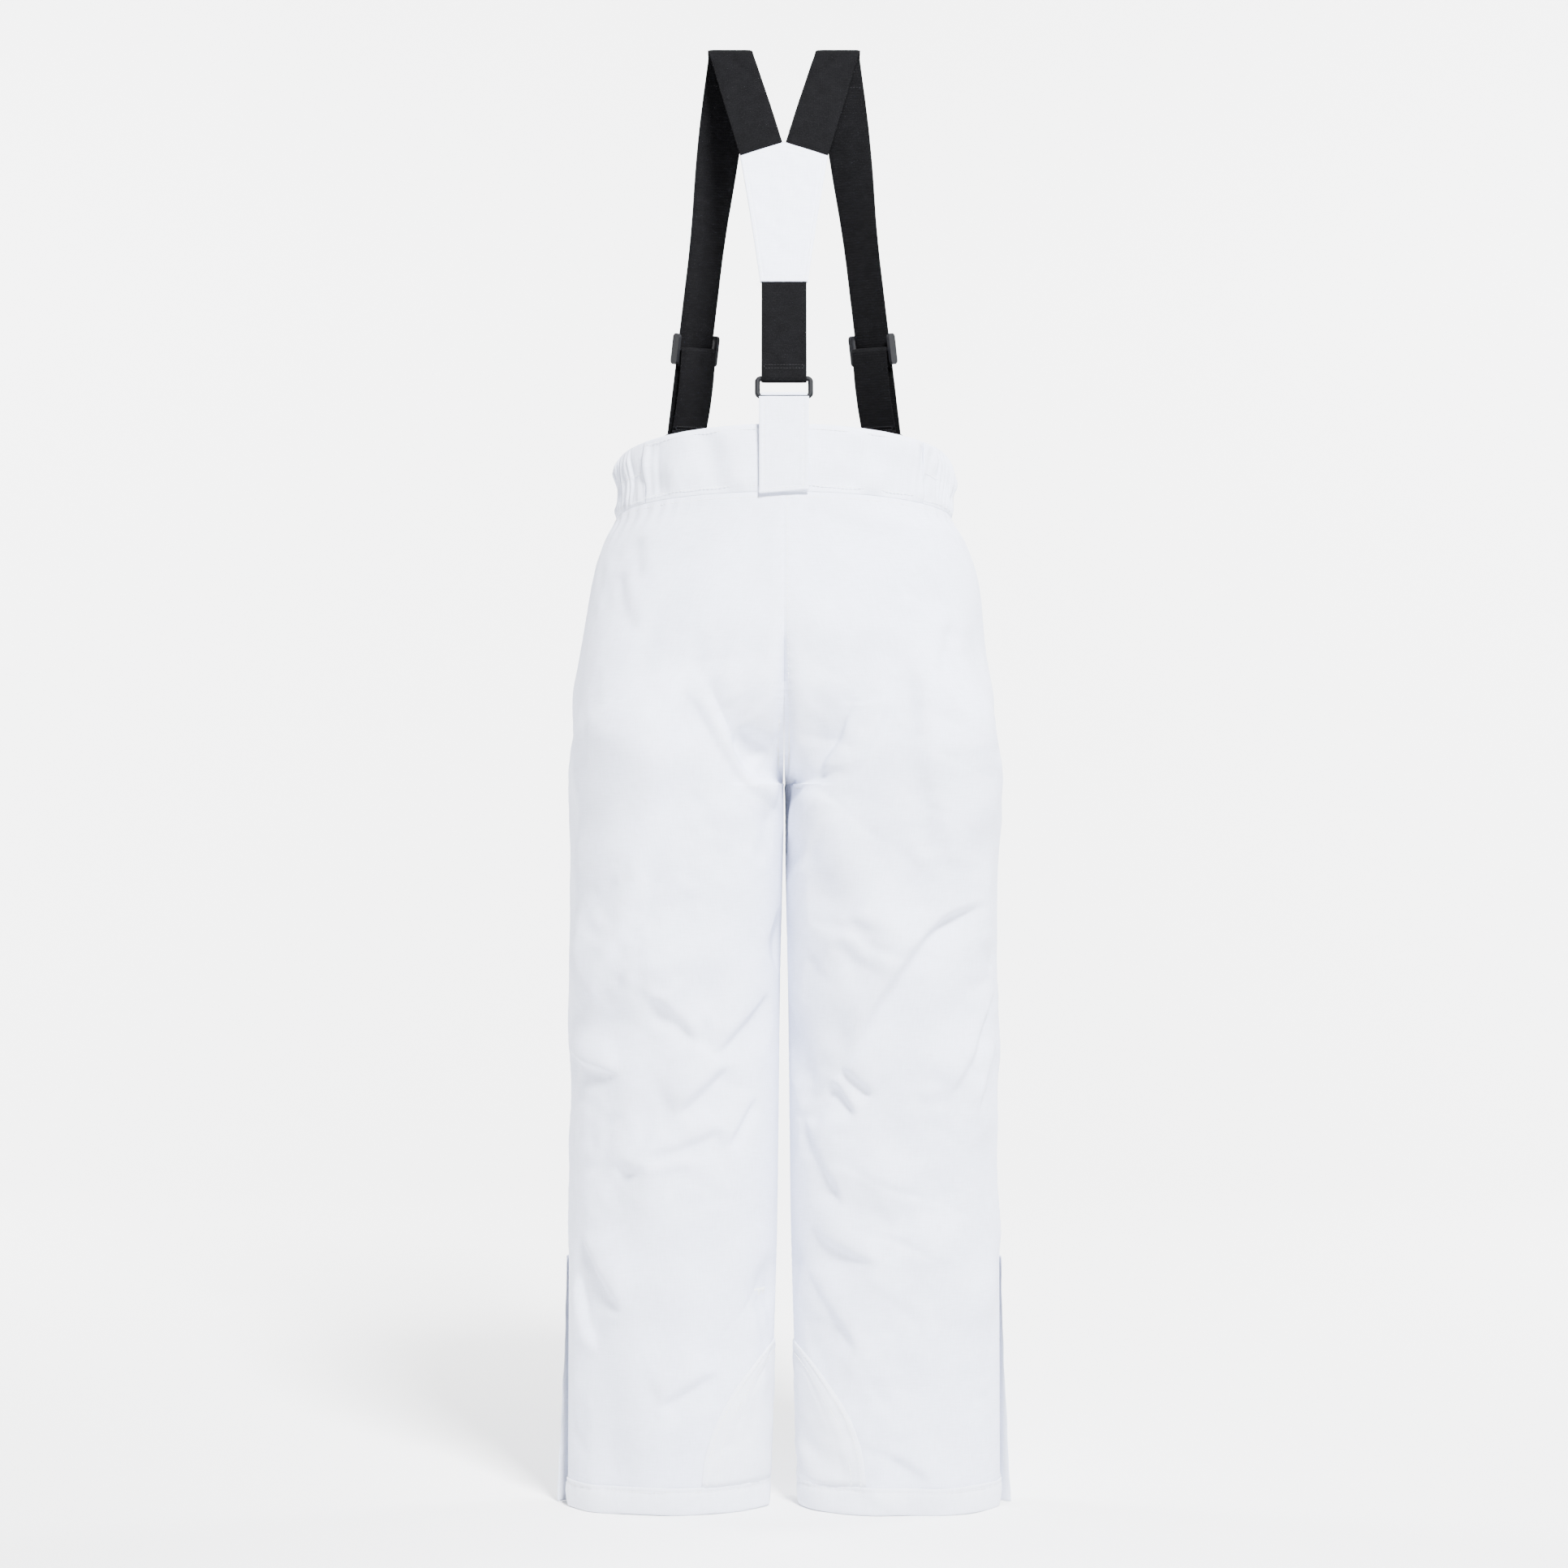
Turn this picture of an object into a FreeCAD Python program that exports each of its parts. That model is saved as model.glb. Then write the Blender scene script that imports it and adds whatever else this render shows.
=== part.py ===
"""Child's insulated ski pants with clip-free shoulder straps, as an assembly of cut pieces and hardware.

The pants stand as if worn. +Z is up, +Y is the wearer's front and +X is the wearer's right.
The origin is the middle of the waist opening, level with the band's top edge at the side seams.
All lengths are in millimetres. Left pieces are the right pieces mirrored in the plane X = 0.
"""
import FreeCAD
import Part

import functools
import math
import os

Vec = FreeCAD.Vector

# ---------------------------------------------------------------- driving dimensions
RISE = 274.0            # crotch point to the waist opening
INSEAM = 620.0          # crotch point to the bottom of the hem
CROTCH = -RISE
HEM = CROTCH - INSEAM
WAIST_SEAM = -46.0      # lower edge of the waistband at the side seams
SEAM_GAP = 0.25         # half the gap left between two panels that are sewn together

SHELL = (-0.8, 0.0)     # layer offsets from the outer face, inwards is negative
WADDING = (-3.2, -1.0)
LINING = (-4.0, -3.4)
BAND = (-2.6, 0.6)
HEM_LAYER = (0.3, 1.4)
GUARD_LAYER = (0.3, 1.3)

WEBBING_WIDTH = 38.0
WEBBING_THICKNESS = 1.3
SHOULDER_Z = 359.0      # top of the shoulder straps
SHOULDER_X = 46.8
FOLD_RADIUS = 8.0       # of the strap where it turns over the shoulder
STRAP_TWIST = 40.0      # degrees that the front run turns to lie along the waist
RING_WIDTH, RING_HEIGHT, RING_BAR = 49.0, 20.0, 4.4
RING_Z = 58.0           # centre of the back ring
TAB_INSIDE_Y, TAB_OUTSIDE_Y = -82.6, -93.1   # the back tab's two runs, either side of the waistband
FRONT_RING_Z = 24.0
SLIDER_Z = 107.0        # centre of the strap adjuster at rest

ANKLE_ZIP_TOP = HEM + 214.0
GUARD_HEIGHT, GUARD_REACH = 126.0, 60.0
HEM_HEIGHT = 24.0

os.makedirs("parts", exist_ok=True)


# ---------------------------------------------------------------- small helpers
def curve(*points):
    """A smooth function through (x, y) points that never overshoots them (monotone cubic)."""
    xs, ys = [p[0] for p in points], [p[1] for p in points]
    slopes = [(ys[i + 1] - ys[i]) / (xs[i + 1] - xs[i]) for i in range(len(xs) - 1)]
    tangents = [slopes[0]]
    for a, b in zip(slopes, slopes[1:]):
        tangents.append(0.0 if a * b <= 0 else 2 * a * b / (a + b))
    tangents.append(slopes[-1])

    def value(x):
        x = min(max(x, xs[0]), xs[-1])
        i = max(k for k in range(len(xs) - 1) if xs[k] <= x)
        h = xs[i + 1] - xs[i]
        t = (x - xs[i]) / h
        return ((1 + 2 * t) * (1 - t) ** 2 * ys[i] + t * (1 - t) ** 2 * h * tangents[i]
                + t * t * (3 - 2 * t) * ys[i + 1] + t * t * (t - 1) * h * tangents[i + 1])

    return value


def spread(first, last, count):
    return [first + (last - first) * i / (count - 1) for i in range(count)]


def mix(a, b, t):
    return a + (b - a) * t


def unit(v):
    return v * (1.0 / v.Length)


def surface(grid):
    made = Part.BSplineSurface()
    made.interpolate(grid)
    return made


def threaded(points, parameters):
    line = Part.BSplineCurve()
    line.interpolate(Points=points, Parameters=parameters)
    return line


def woven(grid, along, across):
    """A surface through a grid of points at stated parameters, so that neighbours share edges exactly."""
    lines = [threaded(line, across) for line in grid]
    columns = [threaded(list(poles), along) for poles in zip(*[line.getPoles() for line in lines])]
    poles = [list(line) for line in zip(*[column.getPoles() for column in columns])]
    made = Part.BSplineSurface()
    made.buildFromPolesMultsKnots(poles, columns[0].getMultiplicities(), lines[0].getMultiplicities(),
                                  columns[0].getKnots(), lines[0].getKnots(), False, False, 3, 3)
    return made


def rim(a, b, iso, which):
    """A ruled face between two surfaces, along one of their boundary lines."""
    edges = []
    for part in (a, b):
        u0, u1, v0, v1 = part.bounds()
        edges.append(part.uIso((u0, u1)[which]) if iso == "u" else part.vIso((v0, v1)[which]))
    return Part.makeRuledSurface(edges[0].toShape(), edges[1].toShape(), 1)


def closed(faces):
    shell = Part.makeShell(faces)
    shell.sewShape()
    solid = Part.Solid(shell)
    if solid.Volume < 0:
        solid.reverse()
    return solid


def slab(outer, inner, along=None, across=None):
    """A closed solid between two grids of points. Unevenly spaced grids need their parameters stated."""
    a, b = [woven(grid, along, across) if along else surface(grid) for grid in (outer, inner)]
    return closed([a.toShape(), b.toShape(), *[rim(a, b, iso, which) for iso in "uv" for which in (0, 1)]])


def mirrored(shape):
    return shape.mirror(Vec(0, 0, 0), Vec(1, 0, 0))


def rounded(v):
    return tuple(round(c, 5) for c in v)


def save(name, *shapes):
    """Writes one node, and prints its volume so that a bad solid shows."""
    solids = [s for shape in shapes for s in shape.Solids]
    whole = solids[0] if len(solids) == 1 else Part.makeCompound(solids)
    state = "ok" if solids and all(s.isValid() and s.Volume > 0 for s in solids) else "BAD"
    print(f"{name:28s} {len(solids):3d} solids {sum(s.Volume for s in solids):12.1f} mm3 {state}")
    whole.exportStep(f"parts/{name}.step")


def save_pair(name, *shapes):
    """The right-hand node as given, and its mirror image on the left."""
    save(name + "_right", *shapes)
    save(name + "_left", *[mirrored(s) for s in shapes])


# ---------------------------------------------------------------- the pants' outer face
# Every profile runs against the height above the crotch point.
side_reach = curve((-620, 186.5), (-406, 185.5), (-200, 184.5), (-24, 184), (60, 180.5), (102, 176),
                   (144, 170.5), (186, 161.5), (211, 152.5), (228, 144.5), (250, 141.5), (274, 143.5),
                   (310, 145))
inner_reach = curve((-620, 12), (-500, 8), (-374, 4.5), (-200, 2.5), (-83, 1), (310, 1))
back_depth = curve((-620, 55), (-406, 62), (-250, 75), (-100, 92), (0, 104), (60, 110.5), (120, 110.5),
                   (170, 103.5), (228, 92), (274, 88), (310, 87))
front_depth = curve((-620, 55), (-406, 63), (-250, 78), (-100, 90.5), (0, 95), (60, 95.5), (120, 94),
                    (170, 90.5), (228, 84), (274, 80), (310, 80))
# the outlines' exponents: 1 is an ellipse, and less is fuller
leg_squareness = curve((-620, 1), (-260, 0.97), (-100, 0.86), (0, 0.76), (60, 0.76))
torso_squareness = curve((0, 0.76), (110, 0.82), (228, 0.97), (310, 1))
SEAT_SEAM_HEIGHT, FLY_SEAM_HEIGHT = 150.0, 88.0   # where the curved crotch seams reach full depth
HIP_HEIGHT = 175.0                                # where the sides have turned from legs into one torso


def merge_share(above, front, angle):
    """0 where the legs are two tubes, 1 where they are one torso. It grows fastest at the middle seam."""
    t = min(max(above / (FLY_SEAM_HEIGHT if front else SEAT_SEAM_HEIGHT), 0.0), 1.0)
    s = min(max(above / HIP_HEIGHT, 0.0), 1.0)
    at_side, at_seam = s * s * (3 - 2 * s), math.sqrt(t * (2 - t))
    return mix(at_side, at_seam, ((1 - math.cos(angle)) / 2) ** 2)


def signed_power(base, exponent):
    return math.copysign(abs(base) ** exponent, base)


def fullness(above, front, angle):
    """How far the outline stands off the side plane at an angle, before scaling to the depth profile."""
    leg = signed_power(math.sin(angle), leg_squareness(above))
    torso = signed_power(math.sin(angle / 2), torso_squareness(above))
    return mix(leg, torso, merge_share(above, front, angle))


@functools.lru_cache(maxsize=None)
def peak(above, front):
    return max(fullness(above, front, a) for a in spread(0, math.pi, 61))


def outline(above, front, angle):
    """The right half's outline in a level plane. angle is 0 at the side seam and pi at the middle seam."""
    reach, inner = side_reach(above), inner_reach(above)
    depth = (front_depth if front else back_depth)(above) / peak(round(above, 2), front)
    way = 1 if front else -1
    leg_x = (reach + inner) / 2 + (reach - inner) / 2 * signed_power(math.cos(angle), leg_squareness(above))
    torso_x = reach * signed_power(math.cos(angle / 2), torso_squareness(above))
    return mix(leg_x, torso_x, merge_share(above, front, angle)), way * depth * fullness(above, front, angle)


def row(level, back_tilt=0.0, front_tilt=0.0):
    """A nearly level line round the pants: it rises towards the back, and falls towards the front."""
    return level, back_tilt, front_tilt


def place(line, front, angle, offset):
    """A point on the right half, on one line, pushed out of the outer face by offset."""
    level, back_tilt, front_tilt = line
    tilt = -front_tilt if front else -back_tilt
    x = y = z = 0.0
    for _ in range(5):
        z = level + tilt * y
        x, y = outline(z - CROTCH, front, angle)
    step = 1e-3
    x0, y0 = outline(z - CROTCH, front, angle - step)
    x1, y1 = outline(z - CROTCH, front, angle + step)
    out = unit(Vec(y1 - y0, x0 - x1, 0)) * (1 if front else -1)
    return Vec(x, y, z) + out * offset


SEAM_TILT = (0.19, 0.07)
TOP_TILT = (0.318, 0.07)


LEG_HEIGHTS = (HEM + 1.0, -850, -790, -740, -680, -610, -540, -470, -410, -357, -315, CROTCH)
TORSO_HEIGHTS = (0, 2, 6.5, 13, 22, 33, 47, 64, 84, 108, 136, 164, 192, 212)


def torso_rows(top_gap=0.4):
    rows = []
    for h in TORSO_HEIGHTS:
        share = max(0.0, (h - 108) / (228 - 108))
        rows.append(row(CROTCH + h, SEAM_TILT[0] * share, SEAM_TILT[1] * share))
    return rows + [row(WAIST_SEAM - top_gap, *SEAM_TILT)]


def panel(front, layer, bottom_gap=0.0):
    """One quarter of the pants: a leg's front or back, up to the waist seam."""
    legs = [row(z) for z in LEG_HEIGHTS]
    if bottom_gap:
        legs = [row(HEM + bottom_gap)] + [r for r in legs if r[0] > HEM + bottom_gap + 8]
    torso = torso_rows()
    lengths = [(legs, [r[0] for r in legs]), (torso, [math.sqrt(r[0] - CROTCH) for r in torso])]
    angles = spread(SEAM_GAP / 60, math.pi - SEAM_GAP / 160, 17)
    faces = []
    for rows, along in lengths:
        inner, outer = [woven([[place(r, front, a, o) for a in angles] for r in rows], along, angles)
                        for o in layer]
        faces += [inner.toShape(), outer.toShape(), rim(inner, outer, "v", 0), rim(inner, outer, "v", 1)]
        faces.append(rim(inner, outer, "u", 0 if rows is legs else 1))
    return closed(faces)


def angle_at(x, above, front=True):
    """The angle at which the outline crosses x, a little past the middle seam included."""
    low, high = 0.0, math.pi * 1.5
    for _ in range(40):
        middle = (low + high) / 2
        if outline(above, front, middle)[0] > x:
            low = middle
        else:
            high = middle
    return low


# ---------------------------------------------------------------- zips, in their own frame
# A zip's frame: X across it, Y out of the garment, Z along the chain, from its lower end.
TAPE_HALF, TAPE_LAYER = 11.0, (-7.6, -7.0)
COIL_HALF, COIL_LAYER = (0.35, 2.6), (-6.95, -4.9)
SLIDER_LENGTH, SLIDER_HALF = 11.0, 4.4
PULL_AXIS_Y, PULL_LENGTH, PULL_HALF = -1.9, 17.0, 3.4
SLOT_HALF = 6.0


def box(x0, x1, y0, y1, z0, z1):
    return Part.makeBox(x1 - x0, y1 - y0, z1 - z0, Vec(x0, y0, z0))


def both_sides(solid):
    return [solid, mirrored(solid)]


def zip_chain(length):
    """Two tapes, two rows of coil and the stops at both ends."""
    tape = box(0.6, TAPE_HALF, *TAPE_LAYER, 0, length)
    coil = box(*COIL_HALF, *COIL_LAYER, 4, length - 4)
    coil = coil.makeFillet(0.7, [e for e in coil.Edges if abs(e.Vertexes[0].Z - e.Vertexes[-1].Z) > 1
                                 and e.CenterOfMass.y > COIL_LAYER[1] - 0.1])
    stops = [box(-2.8, 2.8, COIL_LAYER[0], COIL_LAYER[1] + 0.4, z, z + 2.4) for z in (1.0, length - 3.4)]
    return [*both_sides(tape), *both_sides(coil), *stops]


def shield(width_low, width_high, y0, y1, z0, z1):
    """A plate that widens towards its upper end, with rounded corners."""
    points = [(-width_low, z0), (width_low, z0), (width_high, z1), (-width_high, z1)]
    wire = Part.makePolygon([Vec(x, y0, z) for x, z in points + points[:1]])
    plate = Part.Face(wire).extrude(Vec(0, y1 - y0, 0))
    corners = [e for e in plate.Edges if abs(e.Vertexes[0].Y - e.Vertexes[-1].Y) > 0.1]
    return plate.makeFillet(1.6, corners)


def zip_slider():
    """Two plates, a thin divider between the coil rows, side flanges and the bail that holds the pull."""
    half = SLIDER_LENGTH / 2
    top = shield(SLIDER_HALF - 0.9, SLIDER_HALF, -4.5, -3.3, -half, half)
    bottom = shield(SLIDER_HALF - 0.9, SLIDER_HALF, -9.1, -7.9, -half, half)
    post = box(-0.22, 0.22, -8.0, -4.4, half - 3.2, half - 0.4)
    flange = box(3.0, 3.5, -6.7, -4.4, -half + 1.4, half - 1.4)
    slider = top.fuse([bottom, post, *both_sides(flange)])
    bail = box(-1.1, 1.1, -3.5, -0.7, -3.6, 3.6).cut(box(-2, 2, -2.9, -1.3, -2.4, 2.4))
    bail = bail.makeFillet(0.5, [e for e in bail.Edges if e.CenterOfMass.y > -0.8 and e.Length > 6])
    return slider.fuse(bail).removeSplitter()


def zip_pull():
    """A flat tab with a grip slot, on a small loop that goes through the bail."""
    y = PULL_AXIS_Y
    bar = Part.makeCylinder(0.55, 2 * 2.6, Vec(-2.6, y, 0), Vec(1, 0, 0))
    arm = box(1.5, 2.6, y - 0.55, y + 0.55, -8.6, 0.55)
    tab = box(-PULL_HALF, PULL_HALF, y - 0.8, y + 0.8, -PULL_LENGTH, -8.0)
    tab = tab.cut(box(-1.5, 1.5, y - 2, y + 2, -PULL_LENGTH + 2.5, -10.5))
    tab = tab.makeFillet(1.4, [e for e in tab.Edges if abs(abs(e.CenterOfMass.x) - PULL_HALF) < 0.01
                               and abs(e.Vertexes[0].Y - e.Vertexes[-1].Y) > 1])
    return bar.fuse([arm, mirrored(arm), tab]).removeSplitter()


def frame_matrix(origin, across, out, along):
    m = FreeCAD.Matrix()
    for column, v in enumerate((across, out, along)):
        for line, value in enumerate((v.x, v.y, v.z)):
            setattr(m, f"A{line + 1}{column + 1}", value)
    m.A14, m.A24, m.A34 = origin.x, origin.y, origin.z
    return m


class Zip:
    """A straight zip between two points on the outer face, and the slot that the layers need for it."""

    def __init__(self, low, high, out_hint, rest, travel):
        self.along = unit(high - low)
        self.length = (high - low).Length
        self.across = unit(out_hint.cross(self.along))
        self.out = self.along.cross(self.across)
        self.low, self.rest, self.travel = low, rest, travel

    def placed(self, shape, shift=0.0):
        m = frame_matrix(self.low + self.along * shift, self.across, self.out, self.along)
        return shape.transformed(m)

    def chain(self):
        return [self.placed(s) for s in zip_chain(self.length)]

    def slider(self):
        return self.placed(zip_slider(), self.rest)

    def pull(self):
        return self.placed(zip_pull(), self.rest)

    def slot(self, below=0.0):
        """Room in the outer layers for the coil and slider."""
        return self.placed(box(-SLOT_HALF, SLOT_HALF, -6.9, 9, -below, self.length + 1))

    def report(self, name):
        axis = self.along * (1 if self.travel > 0 else -1)
        pivot = self.low + self.along * self.rest + self.out * PULL_AXIS_Y
        print(f"joint {name}: travel {abs(self.travel)}", "axis", rounded(axis), "pivot", rounded(pivot),
              "across", rounded(self.across))


def side_point(z):
    return Vec(side_reach(z - CROTCH), 0, z)


ankle_zip = Zip(side_point(HEM + 4), side_point(ANKLE_ZIP_TOP), Vec(1, 0, 0), 19.0, 178.0)


def front_point(x, z):
    return place(row(z), True, angle_at(x, z - CROTCH), 0.0)


POCKET_LOW, POCKET_HIGH = (131.0, CROTCH + 96), (100.0, CROTCH + 209)
pocket_zip = Zip(front_point(*POCKET_LOW), front_point(*POCKET_HIGH), Vec(0.55, 1, 0), 100.0, -80.0)
fly_zip = Zip(front_point(0, CROTCH + 98), front_point(0, CROTCH + 219), Vec(0, 1, 0), 106.0, -86.0)


# ---------------------------------------------------------------- legs and torso
def make_panels():
    ankle_slot = ankle_zip.slot(below=8)
    pocket_slot, fly_slot = pocket_zip.slot(), fly_zip.slot()

    def cut_front(shape):
        return shape.cut(ankle_slot).cut(pocket_slot).cut(fly_slot)

    shell_front = cut_front(panel(True, SHELL))
    shell_back = panel(False, SHELL).cut(ankle_slot)
    save_pair("shell_front", shell_front)
    save_pair("shell_back", shell_back)
    save_pair("wadding", cut_front(panel(True, WADDING, 26)), panel(False, WADDING, 26).cut(ankle_slot))
    save_pair("lining", cut_front(panel(True, LINING, 6)), panel(False, LINING, 6).cut(ankle_slot))


def round_leg(line, share, offset, side_gap):
    """A point round one leg: share is -1 at the zip's back edge, 0 at the inseam and 1 at its front edge."""
    angle = math.pi - abs(share) * (math.pi - side_gap)
    return place(line, share > 0, angle, offset)


def leg_wrap(rows, reaches, layer, side_gap=0.0, count=33):
    inner, outer = layer
    grids = [[[round_leg(r, s, o, side_gap) for s in spread(-reach, reach, count)]
              for r, reach in zip(rows, reaches)] for o in (outer, inner)]
    return slab(*grids)


def make_leg_ends():
    slot_angle = (SLOT_HALF + 0.6) / 55
    hem_rows = [row(HEM + h) for h in spread(0, HEM_HEIGHT, 4)]
    save_pair("hem_band", leg_wrap(hem_rows, [1.0] * 4, HEM_LAYER, slot_angle))
    # the scuff guard is a rounded patch round the inseam, sewn on above the hem
    rows, reaches = [], []
    for share in (0.0, 0.2, 0.4, 0.58, 0.74, 0.86, 0.94, 0.985):
        rows.append(row(HEM + HEM_HEIGHT + 0.4 + GUARD_HEIGHT * share))
        reaches.append(GUARD_REACH * math.sqrt(1 - share ** 2) / 118)
    save_pair("scuff_guard", leg_wrap(rows, reaches, GUARD_LAYER, 0.0, 17))


def make_ankles():
    save_pair("ankle_zip_chain", *ankle_zip.chain())
    save_pair("ankle_zip_slider", ankle_zip.slider())
    save_pair("ankle_zip_pull", ankle_zip.pull())
    ankle_zip.report("ankle_right")
    # the gusset closes the leg behind the zip
    rows = [row(z) for z in spread(HEM + 3, ANKLE_ZIP_TOP + 6, 5)]
    reach = 18.0
    grid = []
    for offset in (-10.0, -10.7):
        grid.append([[Vec(side_reach(r[0] - CROTCH) + offset, y, r[0]) for y in spread(-reach, reach, 4)]
                     for r in rows])
    save_pair("ankle_gusset", slab(*grid))
    # the storm flap is sewn to the front panel and stands off the zip, more so towards the hem
    stand = curve((0, 9.5), (70, 6.5), (150, 3.2), (214, 1.8))
    grids = []
    for layer in (0.0, 1.2):
        lines = []
        for h in spread(0.5, 212, 7):
            x = side_reach(HEM + h - CROTCH)
            drop = 4.4 if layer == 0.0 else 3.2
            lines.append([Vec(x - drop + 3.0 + layer * 0.1, 17.5 + layer * 0.2, HEM + h),
                          Vec(x + 1.8 - 0.6 + layer, 11.5 + layer * 0.3, HEM + h),
                          Vec(x + mix(1.8, stand(h), 0.45) + layer * 0.7, 7.4 + layer * 0.7, HEM + h),
                          Vec(x + stand(h), 5.3 + layer, HEM + h)])
        grids.append(lines)
    save_pair("ankle_storm_flap", slab(*grids))


def ellipse_tube(levels, wall):
    """A closed tube through (centre x, half width, half depth, z) levels."""
    def skin(inset):
        wires = []
        for cx, a, b, z in levels:
            points = [Vec(cx + (a - inset) * math.cos(t), (b - inset) * math.sin(t), z)
                      for t in spread(0, 2 * math.pi, 25)[:-1]]
            line = Part.BSplineCurve()
            line.interpolate(Points=points, PeriodicFlag=True)
            wires.append(Part.Wire(line.toShape()))
        return Part.makeLoft(wires, True)
    return skin(0).cut(skin(wall))


def make_gaiters():
    """The snow gaiter hangs inside each leg, and its elastic grips the boot."""
    def levels(points):
        out = []
        for h, a, b in points:
            above = HEM + h - CROTCH
            out.append(((side_reach(above) - 12 + inner_reach(above) + 4) / 2, a, b, HEM + h))
        return out
    cuff_levels = [(26, 60, 39), (60, 61, 40), (120, 67, 45), (172, 76, 52), (190, 80.5, 55.5)]
    cuff = ellipse_tube(levels(cuff_levels), 0.7)
    elastic = ellipse_tube(levels([(26.5, 58.9, 37.9), (52, 59.6, 38.6)]), 1.2)
    save_pair("snow_gaiter", cuff, elastic)


# ---------------------------------------------------------------- waistband
ELASTIC_ANGLE = 1.2      # the gathered side section reaches this far round from the side seam
BAND_ROWS = 4


def band_lines(bottom=0.0, top=0.0):
    lines = []
    for t in spread(0, 1, BAND_ROWS):
        level = mix(WAIST_SEAM + bottom, -top, t)
        lines.append(row(level, mix(SEAM_TILT[0], TOP_TILT[0], t), mix(SEAM_TILT[1], TOP_TILT[1], t)))
    return lines


def band(front, first, last, layer, count=13, bottom=0.0, top=0.0):
    """A stretch of waistband between two angles. Past pi it crosses to the other half."""
    inner, outer = layer
    grids = [[[place(r, front, a, o) for a in spread(first, last, count)] for r in band_lines(bottom, top)]
             for o in (outer, inner)]
    return slab(*grids)


def side_band(reach, layer, bottom=0.0, top=0.0):
    """The waistband round the side seam, from the back (-reach) to the front (+reach)."""
    inner, outer = layer
    angles = spread(-reach, reach, 14)
    grids = [[[place(r, a > 0, abs(a), o) for a in angles] for r in band_lines(bottom, top)]
             for o in (outer, inner)]
    return slab(*grids)


def band_angle(x):
    return angle_at(x, RISE - 22)


SNAP_X = (8.0, 31.0)
SNAP_Z = -29.0
TAB_LAYER = (3.6, 5.2)
TAB_ROOT_X, TAB_TIP_X = -18.4, 44.0
LEFT_BAND_END = -21.2
SNAP_CAP_RADIUS, SNAP_SHANK, SNAP_POST = 7.5, 2.0, 1.8


def snap_frame(x):
    """A snap's place on the band's outer face, and the way out of the band there."""
    angle = band_angle(x)
    face = place(row(SNAP_Z), True, angle, 0)
    along = place(row(SNAP_Z), True, angle + 0.01, 0) - place(row(SNAP_Z), True, angle - 0.01, 0)
    up = place(row(SNAP_Z + 8), True, angle, 0) - place(row(SNAP_Z - 8), True, angle, 0)
    return face, unit(up.cross(along)) * -1


def disc(face, out, r, a, b):
    return Part.makeCylinder(r, b - a, face + out * a, out)


def make_waistband():
    save("waistband_back", band(False, ELASTIC_ANGLE + 0.01, 2 * math.pi - ELASTIC_ANGLE - 0.01, BAND, 25))
    save_pair("waistband_side", side_band(ELASTIC_ANGLE, BAND))
    holes, studs, caps = [], [], []
    for x in SNAP_X:
        face, out = snap_frame(x)
        holes.append(disc(face, out, SNAP_SHANK + 0.25, -6, 9))
        stud = disc(face, out, 5.5, -3.9, -2.9).fuse(
            [disc(face, out, SNAP_SHANK, -3.0, 1.2), disc(face, out, 4.6, 0.8, 1.4),
             disc(face, out, SNAP_POST, 1.3, 3.2)])
        studs.append(stud.removeSplitter())
        cap = disc(face, out, SNAP_CAP_RADIUS, 5.4, 6.6)
        cap = cap.makeFillet(0.9, [cap.Edges[i] for i in range(len(cap.Edges))
                                   if (cap.Edges[i].CenterOfMass - face).dot(out) > 6.5])
        socket = disc(face, out, 5.2, 1.7, 3.4).cut(disc(face, out, 2.3, 1.0, 3.3))
        shank = disc(face, out, SNAP_SHANK, 3.3, 5.6)
        caps.append(cap.fuse([socket, shank]).removeSplitter())
    right = band(True, ELASTIC_ANGLE + 0.01, band_angle(-14), BAND, 15)
    # the left band thickens towards its end, where the tab starts
    thick = curve((0, TAB_LAYER[1]), (26, TAB_LAYER[1]), (36, BAND[1]), (150, BAND[1]))
    angles = [ELASTIC_ANGLE + 0.01]
    angles += [band_angle(x) for x in (100, 80, 60, 48, 42, 37, 33, 30, 27, 23, -LEFT_BAND_END)]
    grids = [[[place(r, True, a, thick(outline(RISE - 22, True, a)[0]) if outer else BAND[0]) for a in angles]
              for r in band_lines()] for outer in (True, False)]
    left = mirrored(slab(*grids, list(range(BAND_ROWS)), angles))
    tab = band(True, band_angle(TAB_TIP_X), band_angle(TAB_ROOT_X), TAB_LAYER, 9, bottom=1.0, top=1.0)
    for hole in holes:
        right, tab = right.cut(hole), tab.cut(hole)
    save("waistband_front_right", right)
    save("waistband_front_left", left)
    save("waist_tab", tab)
    save("snap_studs", *studs)
    save("snap_caps", *caps)
    root = place(row(SNAP_Z), True, band_angle(TAB_ROOT_X - 0.5), mix(*TAB_LAYER, 0.5))
    print("joint waist_tab: pivot", rounded(root))


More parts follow.
